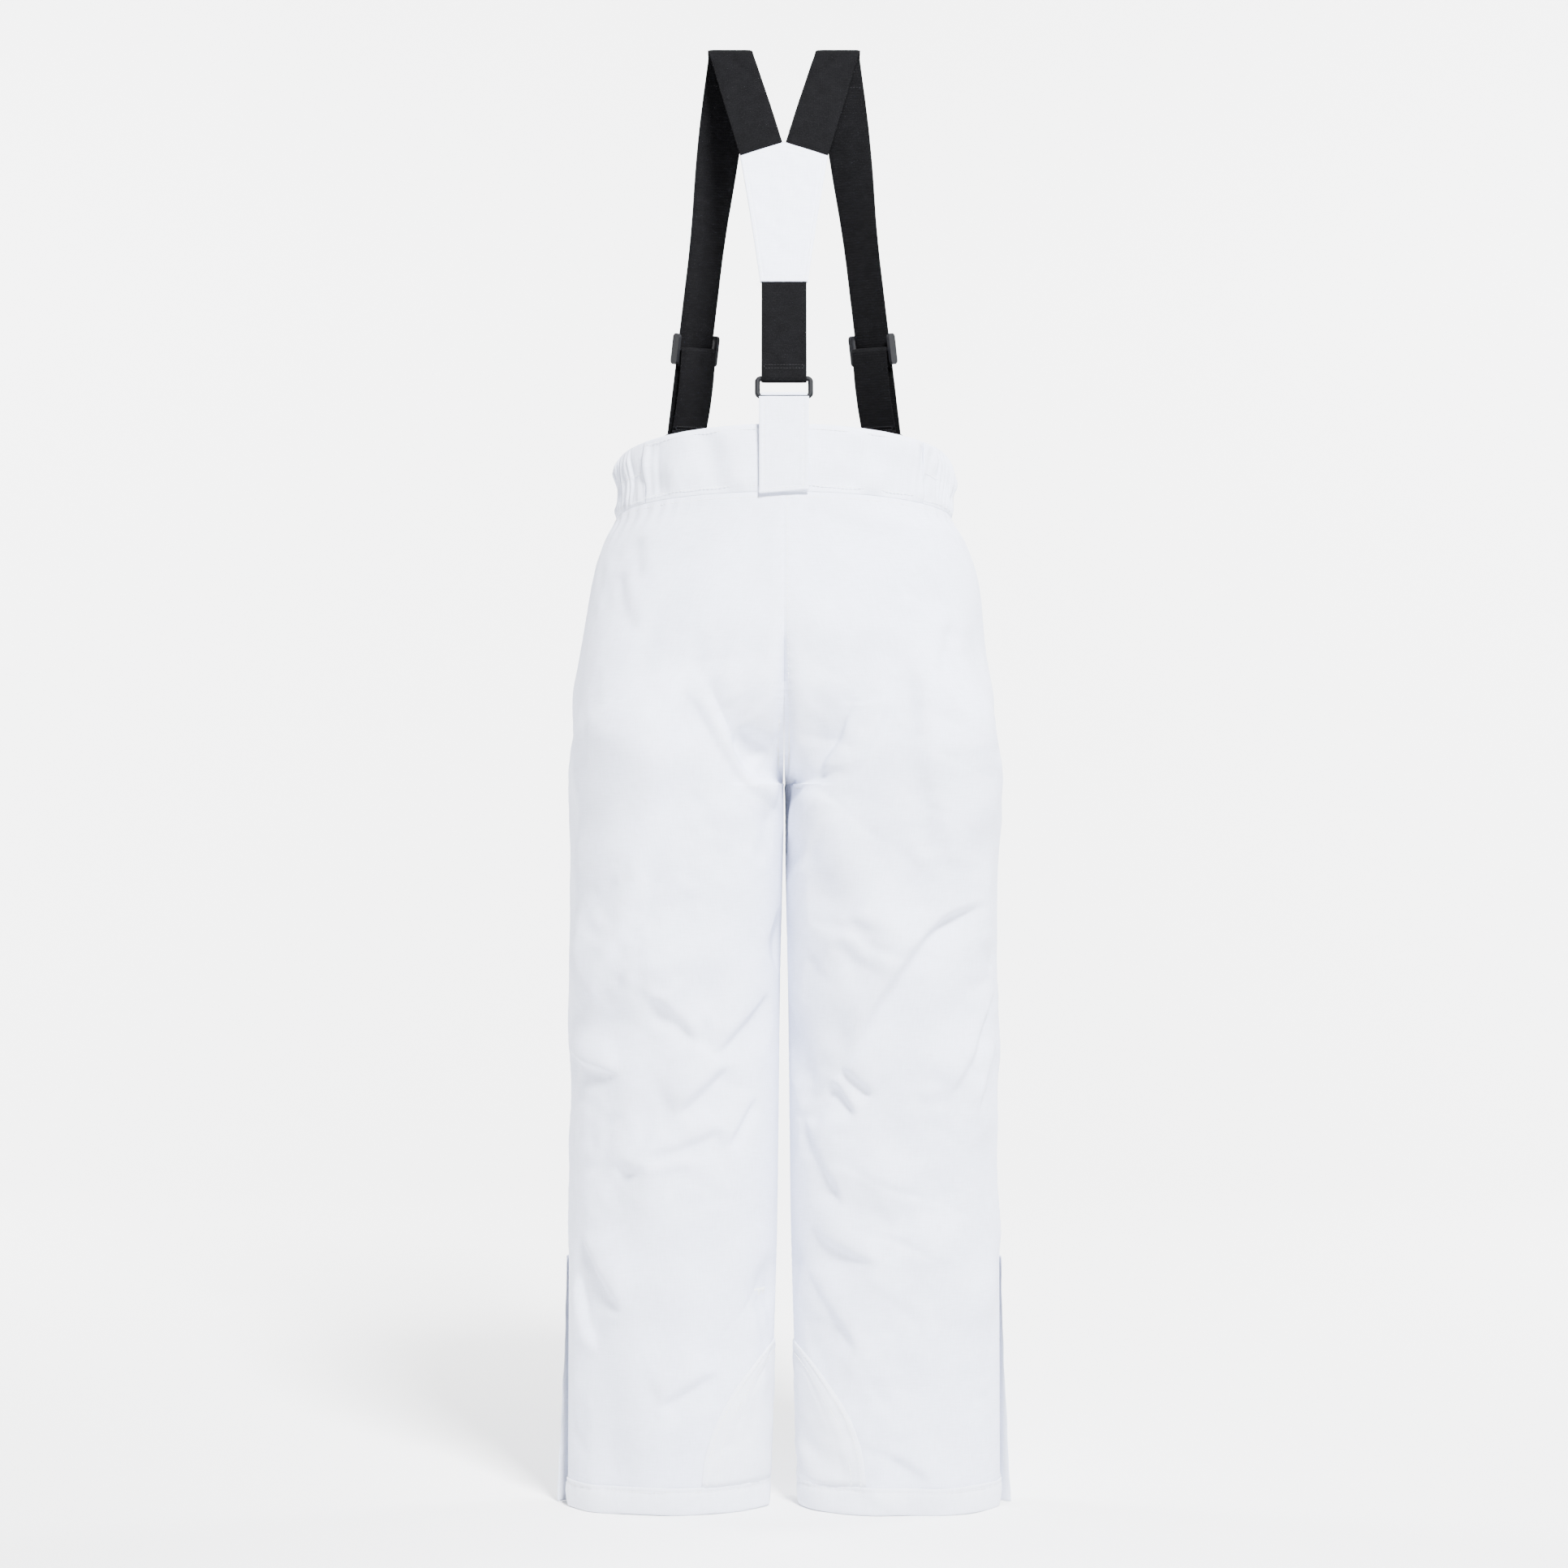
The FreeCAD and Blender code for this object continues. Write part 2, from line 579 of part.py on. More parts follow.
def make_fly_and_pockets():
    save("fly_zip_chain", *fly_zip.chain())
    save("fly_zip_slider", fly_zip.slider())
    save("fly_zip_pull", fly_zip.pull())
    fly_zip.report("fly")
    rows = [row(z) for z in spread(CROTCH + 92, CROTCH + 217, 5)]
    grids = [[[Vec(x, front_depth(r[0] - CROTCH) + o, r[0]) for x in spread(-24, 14, 4)] for r in rows]
             for o in (-10.9, -11.7)]
    save("fly_facing", slab(*grids))
    save_pair("pocket_zip_chain", *pocket_zip.chain())
    save_pair("pocket_zip_slider", pocket_zip.slider())
    save_pair("pocket_zip_pull", pocket_zip.pull())
    pocket_zip.report("pocket_right")
    # the pocket bag hangs behind the front panel, from the zip towards the fly
    grids = []
    for offset in (-11.6, -13.0):
        lines = []
        for z in spread(POCKET_LOW[1] - 14, POCKET_HIGH[1] - 2, 6):
            share = (z - POCKET_LOW[1]) / (POCKET_HIGH[1] - POCKET_LOW[1])
            reach = spread(mix(POCKET_LOW[0], POCKET_HIGH[0], share) + 9, 56, 6)
            lines.append([place(row(z), True, angle_at(x, z - CROTCH), offset) for x in reach])
        grids.append(lines)
    save_pair("pocket_bag", slab(*grids))


# ---------------------------------------------------------------- shoulder straps
BACK_PLANE_SLOPE = 80 / 301      # the straps lean forward from the back waist to the shoulders


def back_y(z):
    return -88 + (z - RING_Z) * BACK_PLANE_SLOPE


BACK_UP = unit(Vec(0, BACK_PLANE_SLOPE, 1))
BACK_OUT = Vec(0, -BACK_UP.z, BACK_UP.y)


def ribbon(stations, width=WEBBING_WIDTH, thickness=WEBBING_THICKNESS):
    """Webbing through (point, across) stations, where across lies in the webbing's face."""
    sections = []
    for i, (point, across) in enumerate(stations):
        before, after = stations[max(i - 1, 0)][0], stations[min(i + 1, len(stations) - 1)][0]
        side = unit(across) * (width / 2)
        depth = unit((after - before).cross(across)) * (thickness / 2)
        corners = [point - side - depth, point + side - depth, point + side + depth, point - side + depth]
        sections.append(Part.makePolygon(corners + corners[:1]))
    return Part.makeLoft(sections, True, True)


def ring():
    """A flat plastic loop with two straight bars and rounded ends, in its own X-Z plane."""
    bar = RING_BAR / 2
    w, h, r = RING_WIDTH / 2 - bar, RING_HEIGHT / 2 - bar, 3.0
    edges = []
    corners = [(w, h, 0), (-w, h, 90), (-w, -h, 180), (w, -h, 270)]
    starts = []
    for cx, cz, a in corners:
        sx, sz = (1 if cx > 0 else -1), (1 if cz > 0 else -1)
        middle = Vec(cx - sx * r, 0, cz - sz * r)
        points = [middle + Vec(r * math.cos(math.radians(a + d)), 0, r * math.sin(math.radians(a + d)))
                  for d in (0, 45, 90)]
        edges.append(Part.Arc(*points).toShape())
        starts.append((points[0], points[2]))
    for i in range(4):
        edges.append(Part.LineSegment(starts[i][1], starts[(i + 1) % 4][0]).toShape())
    path = Part.Wire(Part.__sortEdges__(edges))
    section = Part.Wire(Part.makeCircle(bar, Vec(0, 0, h), Vec(1, 0, 0)))
    solid = path.makePipeShell([section], True, True)
    return solid


LOOP = RING_BAR / 2 + 0.3 + WEBBING_THICKNESS / 2     # webbing centre line round a ring bar
BAR_Z = RING_HEIGHT / 2 - RING_BAR / 2                # bar centres from the ring's middle


def arc_points(centre, first, second, radius, start, stop, count):
    """Points on an arc in the plane of two unit vectors, angles in degrees."""
    turns = [math.radians(a) for a in spread(start, stop, count)]
    return [centre + first * (radius * math.cos(a)) + second * (radius * math.sin(a)) for a in turns]


def make_back():
    middle = Vec(0, back_y(RING_Z), RING_Z)
    placement = frame_matrix(middle, Vec(1, 0, 0), BACK_OUT * -1, BACK_UP)
    save("back_ring", ring().transformed(placement))
    across = Vec(1, 0, 0)
    # the elastic comes down outside, turns under the ring's upper bar and is sewn to itself
    bar = middle + BACK_UP * BAR_Z
    run = [bar + BACK_OUT * LOOP + BACK_UP * d for d in (104, 75, 45, 20, 8, 3)]
    turn = arc_points(bar, BACK_OUT, BACK_UP, LOOP, 0, -180, 9)
    end = [bar - BACK_OUT * LOOP + BACK_UP * 4, bar - BACK_OUT * (LOOP - 1.2) + BACK_UP * 10,
           bar - BACK_OUT * (LOOP - 3.2) + BACK_UP * 17]
    save("back_elastic", ribbon([(p, across) for p in run + turn + end]))
    # the tab is sewn inside the waistband and goes over the lower bar; its outer flap peels off
    bar = middle - BACK_UP * BAR_Z
    up, out, width, thick = Vec(0, 0, 1), Vec(0, -1, 0), 42.0, 1.2
    loop = RING_BAR / 2 + 0.3 + thick / 2
    inside_y = TAB_INSIDE_Y
    anchor = [Vec(0, inside_y, z) for z in (-28, -10, 8, 24, 31)]
    anchor.append(Vec(0, mix(inside_y, bar.y + loop, 0.6), 40))
    anchor += arc_points(bar, out * -1, up, loop, 0, 165, 9)
    save("back_tab_anchor", ribbon([(p, across) for p in anchor], width - 3, thick))
    flap_y = TAB_OUTSIDE_Y
    root = Vec(0, bar.y - loop, bar.z - 0.4)
    flap = [root] + [Vec(0, mix(root.y, flap_y, t), z) for t, z in
                     ((0.15, 44), (0.7, 32), (1.0, 22), (1.0, 8), (1.0, -10), (1.0, -29.6))]
    save("back_tab_flap", ribbon([(p, across) for p in flap], width, thick))
    print("joint back_tab: pivot", rounded(root + Vec(0, -thick / 2, 0.6)))
    # the hook half of the fastening is sewn to the inside of the flap
    save("back_tab_hook", box(-17, 17, flap_y + 0.75, flap_y + 2.15, -27, 10))
    # the keystone patch: two layers of shell fabric with the webbing ends between them
    sheets = []
    for base in (WEBBING_THICKNESS / 2 + 0.3, -WEBBING_THICKNESS / 2 - 1.2):
        corners = [(0, 272.8), (37.2, 260.4), (20.0, 149.3), (-20.0, 149.3), (-37.2, 260.4)]
        start = Vec(0, back_y(0) + BACK_OUT.y * LOOP, 0)
        points = [start + BACK_UP * ((z - start.z) / BACK_UP.z) + Vec(x, 0, 0) for x, z in corners]
        flat = Part.Face(Part.makePolygon(points + points[:1]))
        flat.translate(BACK_OUT * base)
        sheets.append(flat.extrude(BACK_OUT * 0.9))
    save("keystone_patch", *sheets)


def make_straps():
    """The right strap: up the back, over the shoulder, straight down to the front ring and round its bar."""
    lean = math.radians(16.5)

    def back_point(z):
        x = SHOULDER_X - (SHOULDER_Z - z) * math.tan(lean)
        return Vec(x, back_y(z), z) + BACK_OUT * LOOP

    back_across = unit(Vec(1, 0, 0) * math.cos(lean) - BACK_UP * math.sin(lean))
    hip = Vec(86.0, 66.0, FRONT_RING_Z + BAR_Z)
    front_top = Vec(SHOULDER_X + 0.6, FOLD_RADIUS, SHOULDER_Z - FOLD_RADIUS)
    down = unit(hip - front_top)
    twist = math.radians(STRAP_TWIST)
    across = Vec(math.cos(twist), -math.sin(twist), 0)
    across = unit(across - down * across.dot(down))
    out = unit(across.cross(down))
    if out.y < 0:
        out = out * -1
    line_end = hip + out * LOOP
    fold = Vec(SHOULDER_X, 0, SHOULDER_Z - FOLD_RADIUS)
    stations = [(back_point(z), back_across) for z in (263.8, 274, 284)]
    for z, share in ((305, 0.12), (326, 0.45), (342, 0.8)):
        point = back_point(z)
        point.y = mix(point.y, -FOLD_RADIUS - (SHOULDER_Z - FOLD_RADIUS - z) * 0.16, share)
        stations.append((point, unit(back_across * (1 - share) + Vec(1, 0, 0) * share)))
    for a in (180, 150, 120, 90, 60, 30, 0):
        turn = fold + Vec(0, math.cos(math.radians(a)), math.sin(math.radians(a))) * (FOLD_RADIUS - 0.65)
        stations.append((turn, Vec(1, 0, 0)))
    length = (line_end - front_top).Length
    straight = line_end - front_top
    for t in (0.12, 0.22, 0.32, 0.42, 0.52, 0.62, 0.75, 0.88, 0.97):
        share = min(1.0, max(0.0, (t - 0.05) / 0.47))
        share = share * share * (3 - 2 * share)
        stations.append((front_top + straight * t, unit(Vec(1, 0, 0) * (1 - share) + across * share)))
    stations += [(p, across) for p in arc_points(hip, out, down, LOOP, 0, 180, 9)]
    near = hip - out * LOOP
    stations += [(near - down * d, across) for d in (3, 6)]
    save_pair("shoulder_strap", ribbon(stations))

    # the adjuster: a frame round the webbing, with its middle bar on the wearer's side
    share = (front_top.z - SLIDER_Z) / (front_top.z - line_end.z)
    centre = front_top + straight * share
    thick = WEBBING_THICKNESS
    bar_r, far_bar, near_bar = 1.2, thick / 2 + 0.3 + 1.2, -(thick * 1.5 + 0.55 + 1.2)

    def local(x, y, z):
        return centre + across * x + out * y + down * z

    rail = box(20.0, 22.8, near_bar - bar_r - 0.2, far_bar + bar_r + 0.2, -13.5, 13.5)
    rail = rail.makeFillet(3.4, [e for e in rail.Edges if e.Length < 2.9])
    bars = [Part.makeCylinder(bar_r, 42, Vec(-21, y, z), Vec(1, 0, 0))
            for y, z in ((far_bar, -11.5), (far_bar, 11.5), (near_bar, 0))]
    frame = rail.fuse([mirrored(rail), *bars]).removeSplitter()
    save_pair("strap_adjuster", frame.transformed(frame_matrix(centre, across, out, down)))
    print("joint strap_adjuster_right: axis up", rounded(down * -1), "centre", rounded(centre))

    # the return run: from the ring up to the adjuster's middle bar, round it, and sewn to itself
    wrap = bar_r + 0.25 + thick / 2
    start = near - down * 6.4
    bar_centre = local(0, near_bar, 0)
    approach = bar_centre - out * wrap
    run = [(start + (approach - start) * t - out * (2.2 * math.sin(math.pi * t)), across)
           for t in (0.0, 0.15, 0.35, 0.6, 0.8, 0.93)]
    turn = [(p, across) for p in arc_points(bar_centre, out * -1, down * -1, wrap, 0, 180, 9)]
    tail = [(bar_centre + out * (wrap - d) + down * z, across) for d, z in ((0.1, 4), (1.0, 9), (2.2, 15))]
    save_pair("strap_return", ribbon(run + turn + tail))

    # the front ring, and the fabric tab that ties it to the waistband
    ring_middle = hip + down * BAR_Z
    save_pair("front_ring", ring().transformed(frame_matrix(ring_middle, across, out, down * -1)))
    low_bar = hip + down * (2 * BAR_Z)
    tab_thick = 1.2
    loop = RING_BAR / 2 + 0.3 + tab_thick / 2
    foot_angle = band_angle(90)
    face = place(row(-18), True, foot_angle, 0)
    normal = unit(place(row(-18), True, foot_angle, 1) - face)
    tangent = Vec(normal.y, -normal.x, 0)
    outer_foot = [face + normal * 2.5 + Vec(0, 0, dz) for dz in (-12, -2, 8)]
    inner_foot = [face + normal * (BAND[0] - 3.9) + Vec(0, 0, dz) for dz in (-12, 0, 14)]
    bend = arc_points(low_bar, out, down * -1, loop, -10, 190, 9)
    first = [(p, tangent) for p in outer_foot]
    last = [(p, tangent) for p in reversed(inner_foot)]
    save_pair("front_tab", ribbon(first + [(p, across) for p in bend] + last, 38.0, tab_thick))


make_panels()
make_leg_ends()
make_ankles()
make_gaiters()
make_waistband()
make_fly_and_pockets()
make_back()
make_straps()
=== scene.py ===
"""Looks of the ski pants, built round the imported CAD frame. +Z up, +Y the wearer's front, +X the wearer's right.

Lengths are in millimetres until a mesh is made. The left panels and band have their own folds; the left zips,
straps and tabs are the right ones mirrored.
"""

import math

import bpy
import numpy as np
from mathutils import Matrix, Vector


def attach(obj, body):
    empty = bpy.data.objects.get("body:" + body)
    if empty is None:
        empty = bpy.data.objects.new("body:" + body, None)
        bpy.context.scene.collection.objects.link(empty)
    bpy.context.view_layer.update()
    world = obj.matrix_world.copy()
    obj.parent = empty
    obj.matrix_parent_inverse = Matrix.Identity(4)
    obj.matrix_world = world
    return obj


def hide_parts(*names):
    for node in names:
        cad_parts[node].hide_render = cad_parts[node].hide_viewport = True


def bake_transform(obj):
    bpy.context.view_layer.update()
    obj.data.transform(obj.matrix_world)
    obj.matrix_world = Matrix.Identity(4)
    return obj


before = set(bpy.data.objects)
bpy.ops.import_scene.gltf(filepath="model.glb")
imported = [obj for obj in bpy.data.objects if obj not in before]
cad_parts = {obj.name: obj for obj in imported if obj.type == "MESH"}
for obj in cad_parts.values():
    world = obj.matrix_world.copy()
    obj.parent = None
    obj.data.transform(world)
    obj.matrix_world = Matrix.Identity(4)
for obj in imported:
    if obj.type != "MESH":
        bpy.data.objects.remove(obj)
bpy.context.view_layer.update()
MM = 0.001
RIGHT, LEFT = 1, -1
SIDES = ((RIGHT, "right"), (LEFT, "left"))
FACES = ((False, "back"), (True, "front"))
FLIP = {side: np.array([side, 1, 1]) for side, _ in SIDES}
ACROSS, UPRIGHT = np.array([1.0, 0, 0]), np.array([0, 0, 1.0])

# ---------------------------------------------------------------- the garment's measurements
CROTCH, HEM, WAIST_SEAM, RISE = -274.0, -894.0, -46.0, 274.0
HEM_HEIGHT, ANKLE_ZIP_TOP = 24.0, -680.0
WEBBING, WEBBING_THICK = 38.0, 1.3
RING_Z, BAR_Z, LOOP = 58.0, 7.8, 3.15
SEAM_TILT, TOP_TILT = (0.19, 0.07), (0.318, 0.07)
ELASTIC_ANGLE = 1.2
SLOT = 6.0                                               # half the cloth's gap beside a zip's coil
GUARD_WIDE, GUARD_TALL, SHARE_GIRTH = 48.0, 120.0, 118   # scuff guard, and its widest reach round the leg
TAB_LONG, TAB_TALL, BAND_TALL = 62, 42, 46
POCKET_LOW, POCKET_TOP = (131.0, 96), (100.0, 209)       # from the middle, and above the crotch


def curve(*points):
    """A smooth function through points that never overshoots them."""
    xs, ys = (np.array([p[k] for p in points], float) for k in (0, 1))
    slopes = np.diff(ys) / np.diff(xs)
    inner = [0.0 if a * b <= 0 else 2 * a * b / (a + b) for a, b in zip(slopes, slopes[1:])]
    tangents = np.array([slopes[0], *inner, slopes[-1]])

    def value(x):
        x = np.clip(x, xs[0], xs[-1])
        i = np.clip(np.searchsorted(xs, x, side="right") - 1, 0, len(xs) - 2)
        h = xs[i + 1] - xs[i]
        t = (x - xs[i]) / h
        return ((1 + 2 * t) * (1 - t) ** 2 * ys[i] + t * (1 - t) ** 2 * h * tangents[i]
                + t * t * (3 - 2 * t) * ys[i + 1] + t * t * (t - 1) * h * tangents[i + 1])

    return value


side_reach = curve((-620, 186.5), (-406, 185.5), (-200, 184.5), (-24, 184), (60, 180.5), (102, 176),
                   (144, 170.5), (186, 161.5), (211, 152.5), (228, 144.5), (250, 141.5), (274, 143.5),
                   (310, 145))
inner_reach = curve((-620, 12), (-500, 8), (-374, 4.5), (-200, 2.5), (-83, 1), (310, 1))
back_depth = curve((-620, 55), (-406, 62), (-250, 75), (-100, 92), (0, 104), (60, 110.5), (120, 110.5),
                   (170, 103.5), (228, 92), (274, 88), (310, 87))
front_depth = curve((-620, 55), (-406, 63), (-250, 78), (-100, 90.5), (0, 95), (60, 95.5), (120, 94),
                    (170, 90.5), (228, 84), (274, 80), (310, 80))
leg_squareness = curve((-620, 1), (-260, 0.97), (-100, 0.86), (0, 0.76), (60, 0.76))
torso_squareness = curve((0, 0.76), (110, 0.82), (228, 0.97), (310, 1))


def mix(a, b, t):
    return a + (b - a) * t


def spow(base, exponent):
    return np.sign(base) * np.abs(base) ** exponent


def unit_rows(v):
    """Vectors of length one, along the last axis."""
    return v / np.linalg.norm(v, axis=-1, keepdims=True)


def stacked(*parts):
    """Points, or grain coordinates, from their parts."""
    return np.stack(np.broadcast_arrays(*parts), -1)


def smooth(x, low, high):
    t = np.clip((x - low) / (high - low), 0, 1)
    return t * t * (3 - 2 * t)


def bump(x, width):
    return np.exp(-(x / width) ** 2)


def merge_share(above, front, angle):
    """How much of the torso's outline there is at this height: 0 is a leg, 1 the torso."""
    t = np.clip(above / (88.0 if front else 150.0), 0, 1)
    s = np.clip(above / 175.0, 0, 1)
    inward = ((1 - np.cos(angle)) / 2) ** 2
    at_seam = mix(t * t * (3 - 2 * t), np.sqrt(t * (2 - t)), smooth(inward, 0.5, 0.95))
    return mix(s * s * (3 - 2 * s), at_seam, inward)


def fullness(above, front, angle):
    leg = spow(np.sin(angle), leg_squareness(above))
    torso = spow(np.sin(angle / 2), torso_squareness(above))
    return mix(leg, torso, merge_share(above, front, angle))


PEAK_AT = np.arange(-660.0, 400.0)
SOFTEN = np.exp(-(np.arange(-36, 37) / 16.0) ** 2)
PEAKS = [fullness(PEAK_AT[:, None], front, np.linspace(0, np.pi, 61)[None]).max(1) for front in (False, True)]
PEAKS = [np.convolve(np.pad(p, 36, mode="edge"), SOFTEN / SOFTEN.sum(), mode="valid") for p in PEAKS]


def outline(above, front, angle):
    """x and y of the right half's section; angle runs from the side seam (0) to the middle (pi)."""
    reach, inner = side_reach(above), inner_reach(above)
    depth = (front_depth if front else back_depth)(above) / np.interp(above, PEAK_AT, PEAKS[int(front)])
    leg_x = (reach + inner) / 2 + (reach - inner) / 2 * spow(np.cos(angle), leg_squareness(above))
    torso_x = reach * spow(np.cos(angle / 2), torso_squareness(above))
    x = mix(leg_x, torso_x, merge_share(above, front, angle))
    return x, (1 if front else -1) * depth * fullness(above, front, angle)


def place(level, tilt, front, angle, offset=0.0):
    """Points on the right half's outer face; tilt is how much the line drops per millimetre of depth."""
    level, angle = np.broadcast_arrays(np.asarray(level, float), np.asarray(angle, float))
    z = level
    for _ in range(6):
        x, y = outline(z - CROTCH, front, angle)
        z = level - tilt * y
    x0, y0 = outline(z - CROTCH, front, angle - 1e-3)
    x1, y1 = outline(z - CROTCH, front, angle + 1e-3)
    out = np.stack([y1 - y0, x0 - x1], -1) * (1 if front else -1)
    out = unit_rows(out)
    offset = np.asarray(offset, float)
    return np.stack([x + out[..., 0] * offset, y + out[..., 1] * offset, z], -1)


def angle_at(x, above, front=True):
    """The angle at which the section is x from the middle, by halving."""
    low, high = 0.0, math.pi * 1.5
    for _ in range(40):
        middle = (low + high) / 2
        if outline(above, front, middle)[0] > x:
            low = middle
        else:
            high = middle
    return low


# ---------------------------------------------------------------- materials
def new_material(name):
    material = bpy.data.materials.new(name)
    material.use_nodes = True
    tree = material.node_tree
    return material, tree, tree.nodes["Principled BSDF"]


def link(tree, a, b):
    tree.links.new(a, b)


def add(tree, kind, **inputs):
    node = tree.nodes.new(kind)
    for key, value in inputs.items():
        if key in node.inputs:
            node.inputs[key].default_value = value
        else:
            setattr(node, key, value)
    return node


def maths(tree, operation, a, b=None):
    node = tree.nodes.new("ShaderNodeMath")
    node.operation = operation
    for socket, value in zip(node.inputs, (a, b)):
        if value is None:
            continue
        if hasattr(value, "is_output"):
            link(tree, value, socket)
        else:
            socket.default_value = value
    return node.outputs[0]


def noise(tree, vector, scale, detail):
    node = add(tree, "ShaderNodeTexNoise", Scale=scale, Detail=detail)
    link(tree, vector, node.inputs["Vector"])
    return node.outputs[0]


def raise_surface(tree, shader, height, strength, distance):
    relief = add(tree, "ShaderNodeBump", Strength=strength, Distance=distance)
    link(tree, height, relief.inputs["Height"])
    link(tree, relief.outputs[0], shader.inputs["Normal"])


def colour_mix(tree, share, first, second, way="MIX"):
    node = tree.nodes.new("ShaderNodeMix")
    node.data_type, node.blend_type = "RGBA", way
    for socket, value in zip((node.inputs[0], node.inputs[6], node.inputs[7]), (share, first, second)):
        if hasattr(value, "is_output"):
            link(tree, value, socket)
        else:
            socket.default_value = value
    return node.outputs[2]


def woven_material(name, colour, pitch, depth, roughness, tone=0.03, ribs=0.0, speckle=0.0, slub=0.0):
    """Cloth: yarns crossing at the given pitch (mm), seen through each piece's own grain coordinates."""
    material, tree, shader = new_material(name)
    grain = tree.nodes.new("ShaderNodeUVMap")
    parts = tree.nodes.new("ShaderNodeSeparateXYZ")
    link(tree, grain.outputs[0], parts.inputs[0])
    u, v = parts.outputs[0], parts.outputs[1]
    turns = 2 * math.pi / (pitch * MM)
    warp = maths(tree, "SINE", maths(tree, "MULTIPLY", u, turns))
    weft = maths(tree, "SINE", maths(tree, "MULTIPLY", v, turns))
    height = maths(tree, "MULTIPLY", warp, weft)
    if ribs:
        rib = maths(tree, "SINE", maths(tree, "MULTIPLY", v, 2 * math.pi / (ribs * MM)))
        height = maths(tree, "ADD", height, maths(tree, "MULTIPLY", rib, 0.8))
    yarn = noise(tree, grain.outputs[0], 700.0, 2.0)
    height = maths(tree, "ADD", height, maths(tree, "MULTIPLY", yarn, 1.2))
    raise_surface(tree, shader, height, 0.35, depth * MM)
    ramp = tree.nodes.new("ShaderNodeValToRGB")
    ramp.color_ramp.elements[0].position, ramp.color_ramp.elements[1].position = 0.3, 0.7
    ramp.color_ramp.elements[0].color = [c * (1 - tone) for c in colour] + [1]
    ramp.color_ramp.elements[1].color = [min(1, c * (1 + tone)) for c in colour] + [1]
    link(tree, noise(tree, grain.outputs[0], 90.0, 3.0), ramp.inputs[0])
    colour_out = ramp.outputs[0]
    if slub:
        for stretch in ((1.0, 0.09, 1.0), (0.09, 1.0, 1.0)):
            squeeze = tree.nodes.new("ShaderNodeMapping")
            squeeze.inputs["Scale"].default_value = stretch
            link(tree, grain.outputs[0], squeeze.inputs[0])
            level = add(tree, "ShaderNodeMapRange")
            level.inputs[1].default_value, level.inputs[2].default_value = 0.3, 0.7
            level.inputs[3].default_value, level.inputs[4].default_value = 1 - slub, 1.0
            link(tree, noise(tree, squeeze.outputs[0], 900.0, 2.0), level.inputs[0])
            colour_out = colour_mix(tree, 1.0, colour_out, level.outputs[0], "MULTIPLY")
    if speckle:
        fleck_ramp = tree.nodes.new("ShaderNodeValToRGB")
        fleck_ramp.color_ramp.elements[0].position, fleck_ramp.color_ramp.elements[1].position = 0.55, 0.7
        link(tree, noise(tree, grain.outputs[0], 1500.0, 1.0), fleck_ramp.inputs[0])
        colour_out = colour_mix(tree, fleck_ramp.outputs[0], colour_out, [c + speckle for c in colour] + [1])
    link(tree, colour_out, shader.inputs["Base Color"])
    shader.inputs["Roughness"].default_value = roughness
    shader.inputs["Specular IOR Level"].default_value = 0.04 if ribs else 0.15
    return material


def solid_material(name, colour, roughness, metallic=0.0, grain=0.0, scale=900.0):
    """Moulded plastic or cast metal, with a fine surface grain."""
    material, tree, shader = new_material(name)
    shader.inputs["Base Color"].default_value = [*colour, 1]
    shader.inputs["Roughness"].default_value = roughness
    shader.inputs["Metallic"].default_value = metallic
    shader.inputs["Specular IOR Level"].default_value = 0.3 if metallic else 0.12
    coordinates = tree.nodes.new("ShaderNodeTexCoord")
    raise_surface(tree, shader, noise(tree, coordinates.outputs["Object"], scale, 3.0), grain, 0.0003)
    return material


SHELL = woven_material("shell_fabric", (0.785, 0.825, 0.98), 0.9, 0.14, 0.72, tone=0.014, slub=0.07)
TRIM = woven_material("trim_fabric", (0.79, 0.83, 0.975), 0.9, 0.14, 0.7, tone=0.014, slub=0.07)
GUARD = woven_material("guard_fabric", (0.81, 0.84, 0.95), 1.3, 0.2, 0.6, tone=0.01, slub=0.05)
LINING = woven_material("lining_fabric", (0.80, 0.815, 0.84), 0.6, 0.05, 0.45, tone=0.01)
WADDING = woven_material("wadding", (0.84, 0.84, 0.82), 4.0, 0.8, 0.95, tone=0.03)
GUSSET = woven_material("gusset_fabric", (0.52, 0.515, 0.49), 0.8, 0.1, 0.8)
WEB = woven_material("webbing", (0.0026, 0.0026, 0.003), 1.6, 0.35, 0.95, tone=0.2, ribs=2.2, speckle=0.006)
HOOKS = woven_material("hook_tape", (0.80, 0.80, 0.81), 1.6, 0.9, 0.9)
ZIP_TAPE = woven_material("zip_tape", (0.70, 0.70, 0.70), 1.0, 0.15, 0.8)
THREAD = woven_material("thread", (0.84, 0.855, 0.885), 0.35, 0.06, 0.5, tone=0.02)
DARK_THREAD = woven_material("dark_thread", (0.008, 0.008, 0.009), 0.35, 0.06, 0.5, tone=0.02)
PLASTIC = solid_material("buckle_plastic", (0.005, 0.0052, 0.0065), 0.6, grain=0.25)
METAL = solid_material("zip_metal", (0.10, 0.105, 0.11), 0.38, metallic=0.85, grain=0.1)
SNAP = solid_material("snap_metal", (0.62, 0.63, 0.65), 0.28, metallic=1.0, grain=0.05)
HOOK_BLOCK = solid_material("hook_block", (0.78, 0.78, 0.79), 0.9, grain=1.0, scale=1400.0)
COIL = solid_material("zip_coil", (0.62, 0.62, 0.62), 0.4, grain=0.1)


